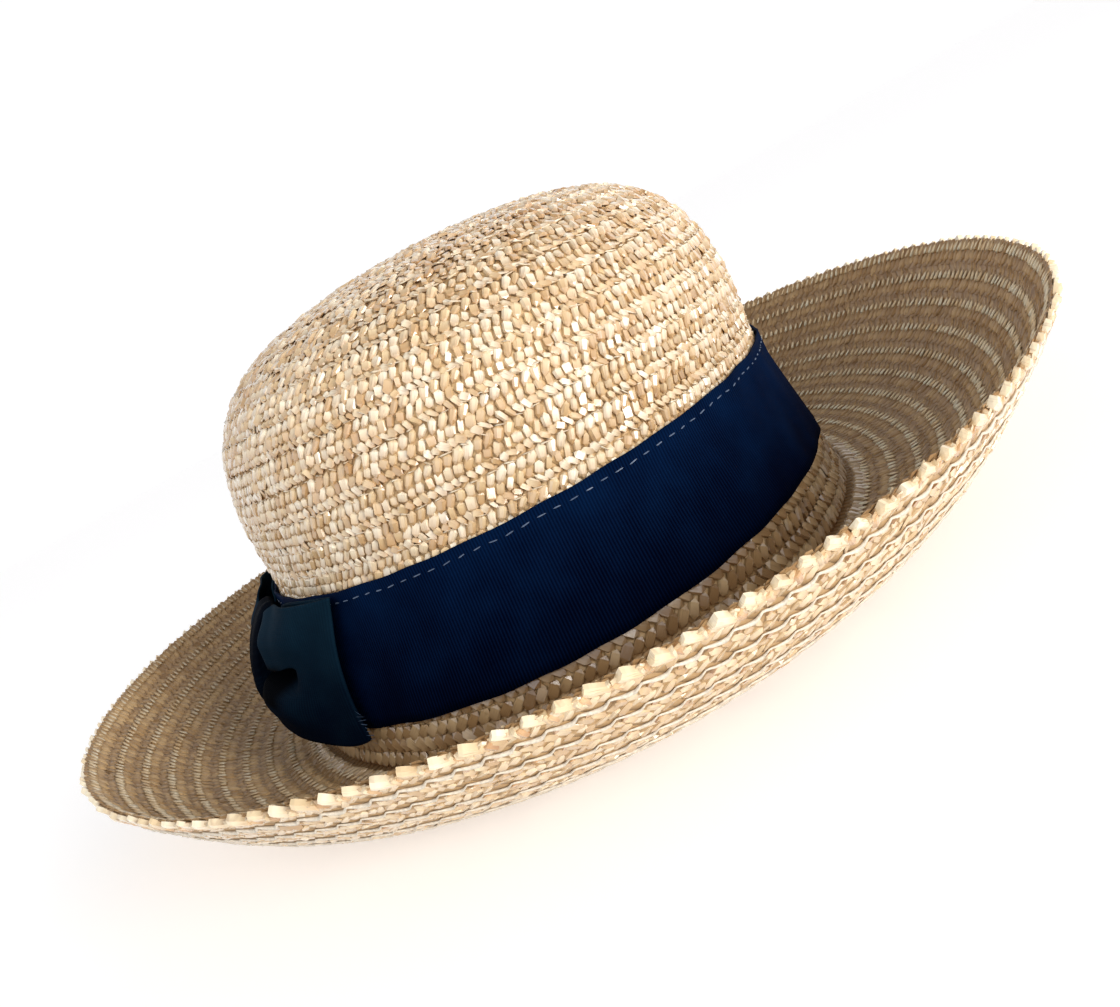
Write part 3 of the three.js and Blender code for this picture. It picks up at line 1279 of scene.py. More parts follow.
@dataclass(frozen=True)
class BrimBraid:
    """The brim: a core of plait, splints on both faces, a toothed rim and wavy sewing lines."""

    shape: HatShape
    layer: SplintLayer
    paints: BrimPaints
    core_half: float = 0.45 * MM
    sides: int = 184
    rings_per_row: int = 3
    mean_grow: float = 20 * MM
    row_turn: float = 0.41
    tooth_pitch: float = 5.2 * MM
    tooth_fall: float = 0.8
    tooth_turn: float = 0.43
    splints_per_tooth: int = 2
    rim_share: float = 0.968
    cap_share: float = 0.974
    facet_share: float = 0.957
    post_share: float = 0.964
    line_place: float = 0.12
    line_swing: float = 0.2
    line_lift: float = 0.66 * MM
    notch_drop: float = 0.14
    thread_radius: float = 0.27 * MM
    thread_thick: float = 1.3
    thread_taper: float = 0.6
    thread_steps: int = 9
    thread_sides: int = 4
    rim_thread_share: float = 1.45
    top_lanes: tuple[SplintLay, ...] = (
        SplintLay("brim_top_grains", SplintKind.GRAIN, place=0.4, pitch=2.6, length=5.6, width=2.9,
                  thickness=0.6, lean=-24, tilt=-4, lift=0.25, seed=31, loose=1.1, tones=(0.1, 0.9)),
        SplintLay("brim_top_chips", SplintKind.CHIP, place=0.92, pitch=2.1, length=3.4, width=2.3,
                  thickness=0.35, lean=42, tilt=-3, lift=0.22, seed=43, loose=1.3, tones=(0.0, 0.7)),
    )
    # Near-white slivers in rows on the brim's top: partly a painted highlight, standing for the glints along
    # each row.
    ticks: SplintLay = SplintLay(
        "brim_top_ticks", SplintKind.SLIVER, place=0.64, pitch=2.6, length=3.1, width=1.3,
        thickness=0.5, lean=-12, tilt=0, lift=0.85, seed=47, loose=1.3)
    seam: SplintLay = SplintLay(
        "brim_seam_grains", SplintKind.GRAIN, place=0.04, pitch=2.3, length=5.4, width=2.2,
        thickness=1.0, lean=-38, tilt=4, lift=0.5, seed=51, loose=0.9, tones=(0.3, 1.0))
    covers: SplintLay = SplintLay(
        "brim_rim_covers", SplintKind.CHIP, place=0.969, pitch=2.3, length=3.6, width=2.5,
        thickness=0.55, lean=-24, tilt=2, lift=0.5, seed=83, loose=0.9, tones=(0.1, 0.8))
    under_lanes: tuple[SplintLay, ...] = (
        SplintLay("brim_under_folds", SplintKind.CHIP, place=0.42, pitch=1.9, length=3.4, width=1.9,
                  thickness=0.5, lean=-52, tilt=-3, lift=0.22, seed=53, loose=1.3, tones=(0.1, 1.0)),
        SplintLay("brim_under_backs", SplintKind.CHIP, place=0.78, pitch=2.0, length=3.2, width=1.8,
                  thickness=0.5, lean=48, tilt=-3, lift=0.22, seed=61, loose=1.3, tones=(0.0, 0.9)),
    )
    notches: SplintLay = SplintLay(
        "brim_under_notches", SplintKind.CHIP, place=0.2, pitch=5.2, length=1.9, width=1.3,
        thickness=0.6, lean=-30, tilt=0, lift=0.26, seed=67, loose=1.2, tones=(0.0, 0.3))
    caps: SplintLay = SplintLay(
        "brim_rim_caps", SplintKind.FOLD, place=0.36, pitch=5.2, length=4.4, width=2.4,
        thickness=1.5, lean=60, tilt=0, lift=-0.4, seed=71, loose=0.9, tones=(0.2, 1.0))
    facets: SplintLay = SplintLay(
        "brim_rim_facets", SplintKind.FOLD, place=0.88, pitch=5.2, length=2.7, width=1.9,
        thickness=1.4, lean=24, tilt=0, lift=-0.45, seed=73, loose=0.6, tones=(0.1, 0.9))
    posts: SplintLay = SplintLay(
        "brim_rim_posts", SplintKind.FOLD, place=0.7, pitch=5.2, length=2.4, width=1.3,
        thickness=1.3, lean=12, tilt=0, lift=-0.3, seed=79, loose=0.7, tones=(0.3, 1.0))
    wave_shape: tuple[tuple[float, float], ...] = (
        (0.0, 1.0), (0.12, 0.86), (0.3, 0.46), (0.5, 0.18), (0.68, 0.06),
        (0.78, 0.1), (0.86, 0.36), (0.94, 0.84), (1.0, 1.0),
    )

    def ring(self, share: float, step: float, shift: float, flip: bool = False) -> Stance:
        """Spaces places evenly round the brim.

        Args:
            share: the ring's share of the brim's outline.
            step: distance from place to place.
            shift: how many steps the first place is moved on.
            flip: True for the brim's upper face.

        Returns:
            The places.
        """
        reach = float(self.shape.brim_reach(np.array(share)))
        grow = reach * self.shape.brim_width
        count = round(self.shape.girth(1.0, grow) / step)
        angle = self.shape.angle_at(1.0, grow, (np.arange(count) + shift) / count)
        return stand_on(self.shape.brim_point, angle, np.full(count, reach), flip)

    def lane(self, lay: SplintLay, flip: bool) -> Stance:
        """Finds where the splints of one lane lie on all rows of one face.

        Args:
            lay: the lane's splints.
            flip: True for the brim's upper face.

        Returns:
            The places.
        """
        rows = self.shape.brim_rows
        shares = [min(self.rim_share, (row + lay.place) / rows) for row in range(rows)]
        turned = [row * self.row_turn for row in range(rows)]
        return gather([self.ring(share, lay.step, shift, flip) for share, shift in zip(shares, turned)])

    def teeth(self, share: float, phase: float, row: int) -> Stance:
        """Places that share one phase of the teeth along a sewing line."""
        return self.ring(share, self.tooth_pitch, phase + row * self.tooth_turn)

    def put(self, places: Stance, lay: SplintLay, finish: bpy.types.Material) -> None:
        """Lays one lane's splints on the brim."""
        self.layer.lay(places, lay, finish, "straw_brim")

    def build_core(self) -> bpy.types.Object:
        """Makes the thin core that the splints lie on.

        Returns:
            The core.
        """
        rows = self.shape.brim_rows
        share = np.linspace(0, self.rim_share, rows * self.rings_per_row + 1)
        angle = turns(self.sides)
        grid_angle, grid_reach = np.meshgrid(angle, self.shape.brim_reach(share))
        stance = stand_on(self.shape.brim_point, grid_angle.ravel(), grid_reach.ravel())
        top = stance.lifted(-self.core_half).point.reshape(*grid_angle.shape, 3)
        low = stance.lifted(self.core_half).point.reshape(*grid_angle.shape, 3)
        inner_oval = np.stack([*self.shape.oval(angle, 1.0, -self.shape.straw), 0 * angle], -1)
        heights = self.shape.straw / 2 + np.array([-self.core_half, self.core_half])
        inner = inner_oval[None] + np.array([0, 0, 1.0]) * heights[:, None, None]
        rings = np.concatenate([inner[1:], top, low[::-1], inner[:1]])
        across = np.concatenate([[0], share * rows, (share * rows)[::-1], [0], [0]])
        teeth = self.shape.girth(1.0, self.mean_grow) / self.tooth_pitch
        around = np.linspace(0, round(teeth * self.splints_per_tooth), self.sides + 1)
        uv = pairs(around[None, :], across[:, None])
        return dress(lofted("brim_core", rings, True, uv), self.paints.wall)

    def tooth_wave(self, phase: Array) -> Array:
        """The sewing lines' wave from 0 to 1: a slow fall and a sharp rise for each fold of straw."""
        places, heights = zip(*self.wave_shape)
        return np.interp(phase % 1.0, places, heights)

    def build_thread(self, row: int) -> bpy.types.Object:
        """Makes the wavy pale line along one row of the underside.

        Args:
            row: the row's number, from the crown.

        Returns:
            The line, as a thin tube.
        """
        rows = self.shape.brim_rows
        share = (row + self.line_place) / rows
        grow = float(self.shape.brim_reach(np.array(share))) * self.shape.brim_width
        count = round(self.shape.girth(1.0, grow) / self.tooth_pitch)
        phase = np.arange(count * self.thread_steps) / self.thread_steps
        wave = self.tooth_wave(phase)
        angle = self.shape.angle_at(1.0, grow, (phase + row * self.tooth_turn) / count)
        reach = self.shape.brim_reach(share + (wave - 0.5) * self.line_swing / rows)
        stance = stand_on(self.shape.brim_point, angle, reach)
        side = unit(np.cross(stance.around, stance.out))[:, None]
        turn = turns(self.thread_sides)[None, :, None]
        ring = np.cos(turn) * side + np.sin(turn) * stance.out[:, None]
        thick = self.thread_radius * (self.thread_thick - self.thread_taper * wave)
        thick = thick * (self.rim_thread_share if row == rows - 1 else 1.0)
        middle = stance.lifted(self.line_lift).point[:, None]
        return lofted(f"thread_{row}", middle + ring * thick[:, None, None], True)

    def build_rim(self) -> None:
        """Lays the folds along the rim: a pale cap, a browner facet and a slim post for each tooth."""
        outermost = self.shape.brim_rows - 1
        for lay, share, finish in (
            (self.caps, self.cap_share, self.paints.cap),
            (self.facets, self.facet_share, self.paints.facet),
            (self.posts, self.post_share, self.paints.under),
        ):
            self.put(self.teeth(share, lay.place, outermost), lay, finish)

    def build_notches(self) -> None:
        """Lays the small brown splints beside each step of the sewing lines."""
        rows = self.shape.brim_rows
        phase = self.notches.place + self.tooth_fall
        drop = self.line_place - self.notch_drop
        places = [self.teeth((row + drop) / rows, phase, row) for row in range(1, rows)]
        self.put(gather(places), self.notches, self.paints.facet)

    def build(self) -> None:
        """Builds the brim's pieces."""
        settle(self.build_core(), ("brim",))
        for lay in self.top_lanes:
            self.put(self.lane(lay, True), lay, self.paints.top)
        self.put(self.lane(self.ticks, True), self.ticks, self.paints.tick)
        for lay, finish in ((self.seam, self.paints.seam), (self.covers, self.paints.top)):
            self.put(self.ring(lay.place, lay.step, 0.0, True), lay, finish)
        for lay in self.under_lanes:
            self.put(self.lane(lay, False), lay, self.paints.under)
        self.build_notches()
        self.build_rim()
        threads = [self.build_thread(row) for row in range(1, self.shape.brim_rows)]
        settle(dress(join("brim_sewing_lines", threads), self.paints.thread))


# The ribbon


@dataclass(frozen=True)
class RibbonBand:
    """The ribbon round the foot of the crown, with a line of running stitches near its top edge."""

    shape: HatShape
    layer: SplintLayer
    cloth: bpy.types.Material
    thread: bpy.types.Material
    stand_off: float = 0.95 * MM
    thickness: float = 0.6 * MM
    sides: int = 300
    rings: int = 14
    mean_spread: float = 0.92
    ripples: tuple[tuple[float, int, int], ...] = ((0.16 * MM, 23, 4), (0.12 * MM, 41, -3))
    edge_wave: float = 0.1 * MM
    edge_waves: int = 31
    stitch_drop: float = 2.3 * MM
    stitch_spread: float = 0.9
    stitch_turn: float = 0.3
    stitches: SplintLay = SplintLay(
        "hat_band_stitches", SplintKind.CHIP, place=0.0, pitch=3.8, length=2.1, width=0.3,
        thickness=0.24, lean=90, tilt=0, lift=-0.05, seed=83, loose=0.9)

    @property
    def width(self) -> float:
        """Mean width of the ribbon."""
        return self.shape.band_high - self.shape.band_low

    def surface(self, angle: Array, along: Array) -> Array:
        """Finds points of the ribbon's outer face.

        Args:
            angle: angle round the axis.
            along: share of the ribbon's width, from its lower edge.

        Returns:
            The points.
        """
        ripple = sum(high * np.sin(waves * angle + slant * along) for high, waves, slant in self.ripples)
        height = self.shape.band_height(angle, along) + self.edge_wave * np.sin(self.edge_waves * angle)
        return self.shape.off_crown(angle, height, self.stand_off + self.thickness + ripple)

    def build_ribbon(self) -> bpy.types.Object:
        """Makes the ribbon.

        Returns:
            The ribbon.
        """
        angle = turns(self.sides)
        along = np.linspace(0, 1, self.rings)
        outer = self.surface(*np.meshgrid(angle, along))
        inner = outer - self.shape.level_out(angle)[None] * self.thickness
        length = self.shape.girth(self.mean_spread, 0.0)
        across = np.concatenate([along, along[::-1], [0]]) * self.width
        uv = pairs(np.linspace(0, length, self.sides + 1)[None, :], across[:, None])
        ribbon = lofted("hat_band_ribbon", np.concatenate([outer, inner[::-1]]), True, uv)
        return dress(ribbon, self.cloth)

    def build(self) -> None:
        """Builds the ribbon and its stitches."""
        settle(self.build_ribbon(), ("hat_band",))
        count = round(self.shape.girth(self.stitch_spread, 0.0) / self.stitches.step)
        place = (np.arange(count) + self.stitch_turn) / count
        angle = self.shape.angle_at(self.stitch_spread, 0.0, place)
        along = np.full(count, 1 - self.stitch_drop / self.width)
        self.layer.lay(stand_on(self.surface, angle, along), self.stitches, self.thread, "ribbon_band")


@dataclass(frozen=True)
class Bow:
    """The flat bow: two loops of ribbon and a knot wrapped over their middle."""

    shape: HatShape
    layer: SplintLayer
    cloth: bpy.types.Material
    fray: bpy.types.Material
    angle: float = math.radians(24.5)
    turn_limit: float = 1.2
    turn_samples: int = 481
    middle_height: float = 30.0 * MM
    ribbon_width: float = 31.3 * MM
    thickness: float = 0.7 * MM
    rows: int = 57
    steps: int = 12
    outward_window: Window = (0.0, 0.7)
    knot_zone: Window = (18 * MM, 31 * MM)
    lobe_zone: Window = (24 * MM, 40 * MM)
    lobe: float = 3.0 * MM
    lobe_humps: tuple[Window, ...] = ((0.24, 0.17), (0.78, 0.15))
    pocket_depth: float = 10.0 * MM
    pocket_start: Window = (0.33, 0.4)
    pocket_end: Window = (0.53, 0.57)
    lip: float = 2.4 * MM
    lip_hump: Window = (0.6, 0.07)
    end_zone: Window = (32 * MM, 46 * MM)
    end_hollow: float = 5.0 * MM
    end_skew: float = 1.6 * MM
    end_shift: float = 1.2 * MM
    closing_step: float = 0.6 * MM
    tuck_zone: Window = (20 * MM, 38 * MM)
    tuck_bottom: float = 26.0 * MM
    tuck_span: float = 18.0 * MM
    tuck_share: float = 0.5
    # Painted shade on the loops' cloth: first where the pleat pocket lies across the ribbon and along the
    # loop, then a strip beside the knot, then its darkest.
    shade_start: Window = (0.21, 0.27)
    shade_end: Window = (0.58, 0.64)
    shade_zone: Window = (19 * MM, 25 * MM)
    crease_hump: Window = (0.6, 0.2)
    crease_zone: Window = (11 * MM, 13.5 * MM)
    deepest_shade: float = 0.97
    loop_innermost: float = 2.8 * MM
    knot_innermost: float = 2.1 * MM
    knot_half: float = 7.8 * MM
    knot_length: float = 60 * MM
    knot_overhang: float = 1.2
    knot_columns: int = 17
    knot_sides: int = 48
    knot_squareness: float = 0.62
    knot_crease: float = 0.25 * MM
    knot_creases: float = 9.0
    # Painted shade laid evenly over the whole knot.
    knot_shade: float = 0.5
    path: tuple[tuple[float, float, float, float], ...] = (
        (9.7, 3.2, 24.5, 41.5), (18, 2.8, 19.0, 44.5), (31, 2.8, 15.0, 45.5), (42, 2.9, 12.8, 45.6),
        (47, 4.2, 12.0, 45.8), (42, 5.9, 11.6, 46.2), (32, 8.2, 13.0, 46.6), (22, 10.8, 15.4, 46.4),
        (14, 12.2, 19.0, 44.8), (9.7, 9.2, 22.5, 42.5),
    )
    wrap: tuple[tuple[float, float, float, float], ...] = (
        (-1.0, 21.0, 44.0, 14.2), (-0.6, 20.0, 45.0, 15.8), (0.0, 20.6, 44.4, 15.2), (0.6, 20.0, 45.0, 15.8),
        (1.0, 21.0, 44.0, 14.2),
    )
    frays: SplintLay = SplintLay(
        "bow_frayed_ends", SplintKind.SLIVER, place=0.0, pitch=0.3, length=2.5, width=0.16,
        thickness=0.14, lean=-100, tilt=0, lift=0.0, seed=97, loose=2.6)
    fray_count: int = 9
    fray_start: tuple[float, float] = (48.6 * MM, 11.6 * MM)
    fray_run: tuple[float, float] = (-3.0 * MM, 7.0 * MM)
    fray_stand_off: float = 4.6 * MM
    fray_probe: float = 0.004

    def angle_at(self, distance: Array) -> Array:
        """Finds the angle reached by going a distance along the band from the bow's middle.

        Args:
            distance: distances, toward the back where positive.

        Returns:
            The angles.
        """
        turn = np.linspace(-self.turn_limit, self.turn_limit, self.turn_samples)
        line = self.shape.off_crown(self.angle + turn, np.full_like(turn, self.middle_height), 0 * turn)
        travelled = arc_lengths(line)
        travelled -= np.interp(0.0, turn, travelled)
        return self.angle + np.interp(distance, travelled, turn)

    def tucked(self, height: Array, stand_off: Array, innermost: float, strength: Array | float) -> Array:
        """Pulls the bow's upper part in toward the crown.

        Args:
            height: heights above the table.
            stand_off: stand-offs without the tuck.
            innermost: the stand-off that stays as it is.
            strength: 1 for the whole tuck, 0 for none.

        Returns:
            The stand-offs with the tuck.
        """
        rise = np.maximum(0, height - self.tuck_bottom) / self.tuck_span
        return innermost + (stand_off - innermost) * (1 - self.tuck_share * strength * rise**2)

    def shade(self, distance: Array, outward: Array, share: Array) -> Array:
        """Works out the painted shade that darkens the loop inside its pleat and beside the knot.

        Args:
            distance: distance of each station from the bow's middle.
            outward: 1 on the loop's outer face, down to 0 on its inner one.
            share: shares of the ribbon's width, from its lower edge.

        Returns:
            The painted shade, 0 for none.
        """
        # Painted shade: dark in the pleat pocket near the knot and in a strip beside the knot.
        pleat = smooth_step(self.shade_start, share) * fade(self.shade_end, share)
        inside = pleat * fade(self.shade_zone, distance) * outward
        beside = hump(*self.crease_hump, share) * fade(self.crease_zone, distance) * outward
        return np.clip(inside + beside, 0, self.deepest_shade)

    def face(self, line: Array, outward: Array, share: Array) -> tuple[Array, Array, Array, Array]:
        """Shapes a loop's ribbon: full lobes, a pleat pocket beside the knot and a hollow end.

        Args:
            line: distance, stand-off, lowest and highest edge for each station.
            outward: 1 where a station lies on the loop's outer face, down to 0 on its inner one.
            share: shares of the ribbon's width, from its lower edge.

        Returns:
            Distance along the band, stand-off, height and painted shade for each station and share.
        """
        distance, stand_off, low, high = (part[:, None] for part in line.T)
        share = share[None]
        height = low + (high - low) * share
        near_knot = fade(self.knot_zone, distance)
        pocket = smooth_step(self.pocket_start, share) * fade(self.pocket_end, share) * near_knot
        lobes = sum(hump(*spot, share) for spot in self.lobe_humps) * fade(self.lobe_zone, distance)
        off = stand_off + outward * (self.lobe * lobes - self.pocket_depth * pocket)
        off = self.tucked(height, off, self.loop_innermost, fade(self.tuck_zone, distance))
        rise = height - outward * self.lip * hump(*self.lip_hump, share) * near_knot
        skew = self.end_skew * (2 * share - 1) + self.end_shift
        hollow = self.end_hollow * np.sin(math.pi * share)
        ahead = distance + smooth_step(self.end_zone, distance) * (skew - hollow)
        return ahead, off, rise, self.shade(distance, outward, share)

    def loop_line(self) -> Array:
        """Smooths the loop's closed path.

        Returns:
            Distance, stand-off, lowest and highest edge for each station.
        """
        table = np.array(self.path) * MM
        closed = np.concatenate([table[-2:], table, table[:2]])
        return catmull_rom(closed, (len(closed) - 1) * self.steps + 1)[2 * self.steps:-self.steps - 1]

    def build_loop(self, name: str, direction: int) -> bpy.types.Object:
        """Makes one loop.

        Args:
            name: its name.
            direction: 1 toward the back of the hat, -1 toward the front.

        Returns:
            The loop.
        """
        line = self.loop_line()
        course = unit(np.roll(line[:, :2], -1, axis=0) - np.roll(line[:, :2], 1, axis=0))
        outward = smooth_step(self.outward_window, -course[:, :1])
        share = np.linspace(0, 1, self.rows)
        distance, off, height, shade = self.face(line, outward, share)
        skins = []
        for side in (self.thickness / 2, -self.thickness / 2):
            around = self.angle_at(direction * (distance + side * course[:, 1:2]))
            skins.append(self.shape.off_crown(around, height, off - side * course[:, 0:1]))
        travelled = arc_lengths(line[:, :2])
        travelled = np.append(travelled, travelled[-1] + self.closing_step)
        across = np.concatenate([share, share[::-1], [0]]) * self.ribbon_width
        rings = np.concatenate([skins[0], skins[1][:, ::-1]], axis=1)
        loop = lofted(name, rings, True, pairs(travelled[:, None], across[None, :]))
        # Stores the painted shade for the cloth's colour.
        store(loop, "shade", np.concatenate([shade, shade[:, ::-1]], axis=1))
        return dress(loop, self.cloth)

    def knot_skin(self, across: Array) -> Array:
        """Shapes the knot's wrap.

        Args:
            across: where its rings lie, from -1 to 1 over the bow's middle.

        Returns:
            The points as rings x sides x 3, with both ends closed.
        """
        table = np.array(self.wrap)
        low, high, outermost = (
            np.interp(across, table[:, 0], table[:, column])[:, None] * MM for column in (1, 2, 3))
        turn = turns(self.knot_sides)[None]
        height = (low + high) / 2 + (high - low) / 2 * soften(np.sin(turn), self.knot_squareness)
        depth = (outermost - self.knot_innermost) / 2 * (1 + soften(np.cos(turn), self.knot_squareness))
        crease = self.knot_crease * np.cos(across * self.knot_creases)[:, None] * (np.cos(turn) > 0)
        off = self.tucked(height, self.knot_innermost + depth + crease, self.knot_innermost, 1.0)
        angle = self.angle_at(across * self.knot_half)[:, None] + 0 * off
        skin = self.shape.off_crown(angle, height, off)
        ends = skin.mean(axis=1, keepdims=True) + 0 * skin
        return np.concatenate([ends[:1], skin, ends[-1:]])

    def build_knot(self) -> bpy.types.Object:
        """Makes the knot.

        Returns:
            The knot.
        """
        across = np.linspace(-1, 1, self.knot_columns)
        around = np.linspace(0, self.knot_length, self.knot_sides + 1)
        beside = np.concatenate([[-self.knot_overhang], across, [self.knot_overhang]]) * self.knot_half
        uv = pairs(around[None, :], beside[:, None])
        knot = lofted("bow_knot_wrap", self.knot_skin(across), False, uv)
        weld(knot)
        # Stores painted shade, the same over the whole knot.
        store(knot, "shade", np.full(len(knot.data.vertices), self.knot_shade))
        return dress(knot, self.cloth)

    def fray_places(self) -> Stance:
        """Finds where the loose threads stand, at the lower corner of the rear loop's end.

        Returns:
            The places.
        """
        share = np.linspace(0, 1, self.fray_count)
        distance, height = (start + run * share for start, run in zip(self.fray_start, self.fray_run))
        angle = self.angle_at(distance)
        off = np.full(self.fray_count, self.fray_stand_off)
        point = self.shape.off_crown(angle, height, off)
        around = unit(self.shape.off_crown(angle + self.fray_probe, height, off) - point)
        out = unit(np.cross(around, np.array([0.0, 0.0, 1.0])))
        return Stance(point, around, out)

    def build(self) -> None:
        """Builds the loops, the knot and the loose threads."""
        settle(self.build_loop("bow_loop_rear_ribbon", 1), ("bow_loop_rear",))
        settle(self.build_loop("bow_loop_front_ribbon", -1), ("bow_loop_front",))
        settle(self.build_knot(), ("bow_knot",))
        self.layer.lay(self.fray_places(), self.frays, self.fray, "ribbon_bow")


# The studio


def toward(azimuth: float, elevation: float) -> Vector:
    """Direction from the hat to where an azimuth and an elevation in degrees point."""
    turn, rise = math.radians(azimuth), math.radians(elevation)
    return Vector((math.sin(turn) * math.cos(rise), -math.cos(turn) * math.cos(rise), math.sin(rise)))


@dataclass(frozen=True)
class Lamp:
    """One soft light that looks at the hat: angles in degrees, sizes in metres, power in watts."""

    name: str
    azimuth: float
    elevation: float
    distance: float
    size: float
    power: float
    colour: Paint
    aim_height: float = 50 * MM

    def build(self) -> None:
        """Makes the light."""
        source = bpy.data.lights.new(self.name, "AREA")
        source.size = self.size
        source.energy = self.power
        source.color = paint(*self.colour)[:3]
        light = add_object(self.name, source)
        back = toward(self.azimuth, self.elevation)
        light.location = back * self.distance + Vector((0, 0, self.aim_height))
        light.rotation_mode = "QUATERNION"
        light.rotation_quaternion = back.to_track_quat("Z", "Y")


@dataclass(frozen=True)
class Studio:
    """A pale seamless floor, soft lights and the camera at the photograph's angle."""

    azimuth: float = 190.0
    elevation: float = 17.882
    roll: float = -28.945
    distance: float = 293.6 * MM
    focal_px: float = 916.31
    aim_px: tuple[float, float] = (564.56, 572.33)
    centre_px: tuple[float, float] = (500.0, 630.0)
    picture_px: tuple[int, int] = (1120, 1007)
    sensor_mm: float = 36.0
    nearest: float = 10 * MM
    crown_foot: float = 2.4 * MM
    floor_sides: int = 64
    floor_radius: float = 40.0
    floor_paint: Paint = (240, 239, 237)
    floor_roughness: float = 0.9
    floor_shine: float = 0.1
    floor_glow: float = 0.42
    sky_paint: Paint = (252, 252, 255)
    sky_level: float = 1.06
    sky_overhead: float = 0.2
    sky_window: Window = (0.42, 1.0)
    lamps: tuple[Lamp, ...] = (
        Lamp("key", azimuth=225, elevation=9, distance=1.4, size=0.6, power=14, colour=(255, 252, 248)),
        Lamp("fill", azimuth=150, elevation=30, distance=1.6, size=1.2, power=1.8, colour=(240, 244, 255)),
    )

    def axes(self) -> tuple[Vector, Vector, Vector]:
        """Works out how the camera is turned.

        Returns:
            The camera's right, up and forward directions.
        """
        roll = math.radians(self.roll)
        forward = -toward(self.azimuth, self.elevation)
        level = forward.cross(Vector((0, 0, 1))).normalized()
        upright = level.cross(forward)
        right = level * math.cos(roll) + upright * math.sin(roll)
        up = upright * math.cos(roll) - level * math.sin(roll)
        return right, up, forward

    def build_camera(self) -> None:
        """Makes the camera."""
        right, up, forward = self.axes()
        scale = self.distance / self.focal_px
        aside = (self.aim_px[0] - self.centre_px[0]) * scale
        above = (self.aim_px[1] - self.centre_px[1]) * scale
        place = -aside * right + above * up - self.distance * forward + Vector((0, 0, self.crown_foot))
        width, height = self.picture_px
        lens = bpy.data.cameras.new("camera")
        lens.sensor_width = self.sensor_mm
        lens.lens = self.focal_px / width * self.sensor_mm
        lens.shift_x = (width / 2 - self.centre_px[0]) / width
        lens.shift_y = (self.centre_px[1] - height / 2) / width
        lens.clip_start = self.nearest
        camera = add_object("camera", lens)
        turn = Matrix((right, up, -forward)).transposed().to_4x4()
        camera.matrix_world = Matrix.Translation(place) @ turn
        bpy.context.scene.camera = camera

    def build_floor(self) -> None:
        """Makes the plain pale floor, which runs on to the horizon."""
        angle = turns(self.floor_sides)
        edge = np.stack([np.cos(angle), np.sin(angle), 0 * angle], -1) * self.floor_radius
        floor = new_mesh("floor", edge, [tuple(range(self.floor_sides))], False)
        material, graph = start_material("pale_floor")
        end_material(graph, {
            "Base Color": paint(*self.floor_paint),
            "Roughness": self.floor_roughness,
            "Specular IOR Level": self.floor_shine,
            "Emission Color": paint(255, 255, 255),
            "Emission Strength": self.floor_glow,
        })
        floor.data.materials.append(material)

    def build_sky(self) -> None:
        """Makes the sky: bright and even low down, dimmer overhead."""
        world = bpy.data.worlds.new("sky")
        world.use_nodes = True
        world.node_tree.nodes.clear()
        graph = Graph(world.node_tree)
        height = graph.part(graph.node("ShaderNodeTexCoord", {}, {}, "Generated"), "Z")
        dimmed = height.between(*self.sky_window) * (self.sky_level - self.sky_overhead)
        inputs = {"Color": paint(*self.sky_paint), "Strength": self.sky_level - dimmed}
        sky = graph.node("ShaderNodeBackground", {}, inputs)
        graph.node("ShaderNodeOutputWorld", {}, {"Surface": sky}, "none")
        bpy.context.scene.world = world

    def build(self) -> None:
        """Builds camera, floor, lights and sky."""
        self.build_camera()
        self.build_floor()
        for lamp in self.lamps:
            lamp.build()
        self.build_sky()
        bpy.context.scene.view_settings.view_transform = "Standard"


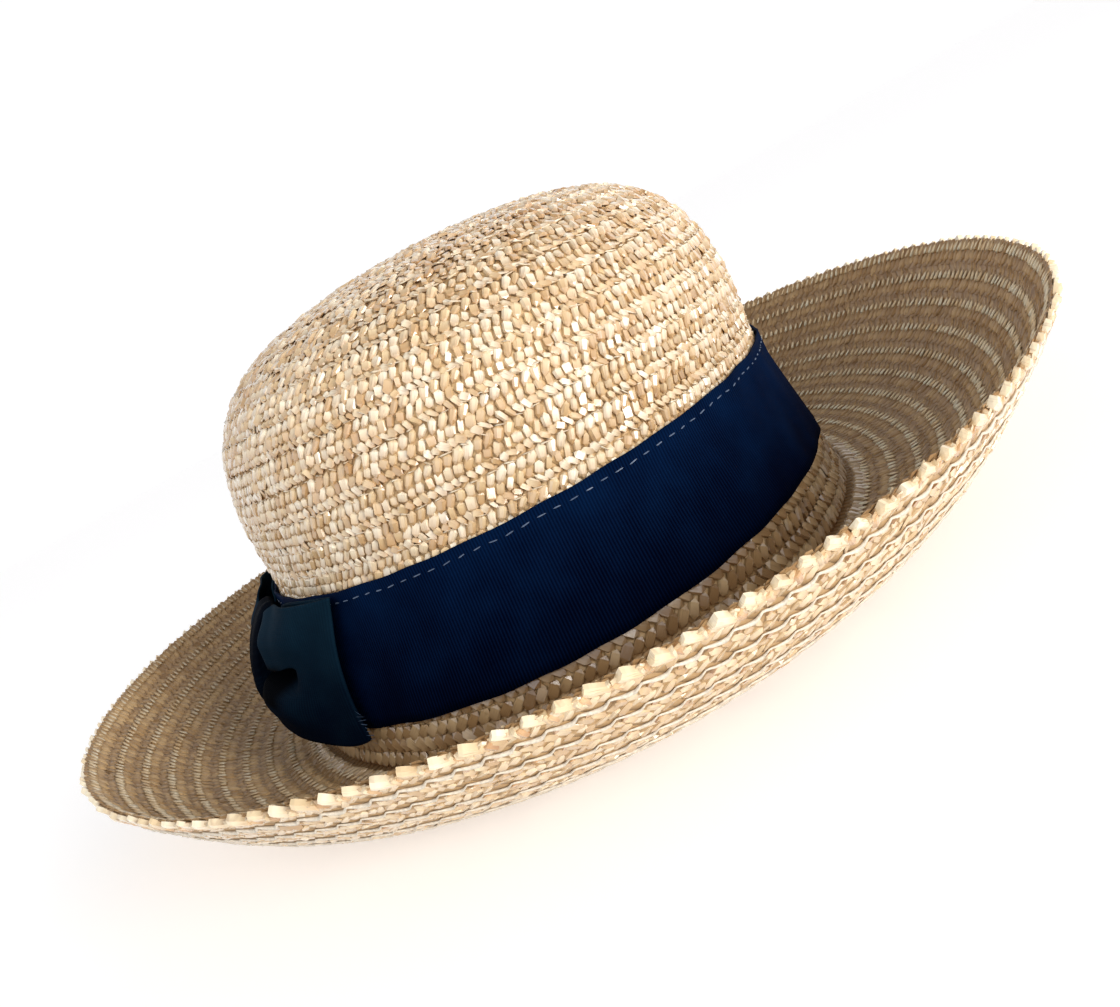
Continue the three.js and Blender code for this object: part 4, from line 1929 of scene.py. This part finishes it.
def brim_paints() -> BrimPaints:
    """Builds the brim's finishes.

    Returns:
        The finishes.
    """
    # Painted shade: a darker copy of the straw for the brim's upper face, which lies in shade under the rim
    # and the crown.
    top = StrawFinish("straw_brim_top_painted_shade", pale=(204, 172, 126), warm=(182, 148, 104), deep=(138, 105, 68),
                      knot=(104, 75, 46), roughness=0.5, shine=0.1, gloss=0.25)
    # Painted highlight and painted shade: near-white straw that stands partly for glints, with painted shade
    # toward +X.
    tick = StrawFinish("straw_tick_painted_glint", pale=(255, 249, 222), warm=(255, 236, 196), deep=(224, 192, 142),
                       dull_share=0.5, roughness=0.35, shine=0.6)
    # Painted light: paler straw for the seam row than the brim top and the crown's foot beside it, standing
    # for that row's glints.
    seam = StrawFinish("straw_seam_painted_light", pale=(212, 188, 150), warm=(188, 158, 118), deep=(148, 116, 78))
    under = StrawFinish("straw_brim_under", pale=(230, 210, 174), warm=(212, 184, 140), deep=(178, 140, 96),
                        knot=(140, 98, 60))
    cap = StrawFinish("straw_cap", pale=(244, 229, 197), warm=(234, 209, 166), deep=(212, 174, 124))
    facet = StrawFinish("straw_facet", pale=(222, 184, 136), warm=(204, 160, 110), deep=(160, 114, 70))
    wall = PlaitFinish("plait_brim", pale=(176, 142, 98), deep=(136, 102, 64))
    thread = ThreadFinish("pale_thread", (248, 236, 214), roughness=0.35)
    return BrimPaints(*(finish.material() for finish in (top, tick, seam, under, cap, facet, wall, thread)))


def main() -> None:
    """Builds the hat's pieces in order, then the studio."""
    logging.basicConfig(level=logging.INFO, format="%(message)s")
    shape = HatShape()
    layer = SplintLayer()
    straw = StrawFinish("straw", gloss=0.9).material()
    # Painted shade: a darker, browner copy of the straw for the rows under the ribbon, where the crown's foot
    # lies in shade.
    foot = StrawFinish("straw_foot_painted_shade", pale=(200, 172, 128), warm=(166, 133, 90), deep=(128, 95, 58),
                       knot=(104, 74, 44), gloss=0.9).material()
    wall = PlaitFinish("plait_back").material()
    band_cloth = RibbonFinish("navy_ribbon").material()
    # The bow's cloth gets stronger painted light toward the top edge of its ribbon.
    bow_cloth = RibbonFinish("navy_bow", rib_share=0.35, edge_share=0.5, dark=(2, 9, 24),
                             light=(20, 46, 62)).material()
    stitch = ThreadFinish("grey_thread", (92, 110, 138)).material()
    fray = ThreadFinish("blue_thread", (66, 92, 124)).material()
    CrownBraid(shape, layer, straw, foot, wall).build()
    BrimBraid(shape, layer, brim_paints()).build()
    RibbonBand(shape, layer, band_cloth, stitch).build()
    Bow(shape, layer, bow_cloth, fray).build()
    layer.clear()
    Studio().build()


if __name__ == "__main__":
    main()
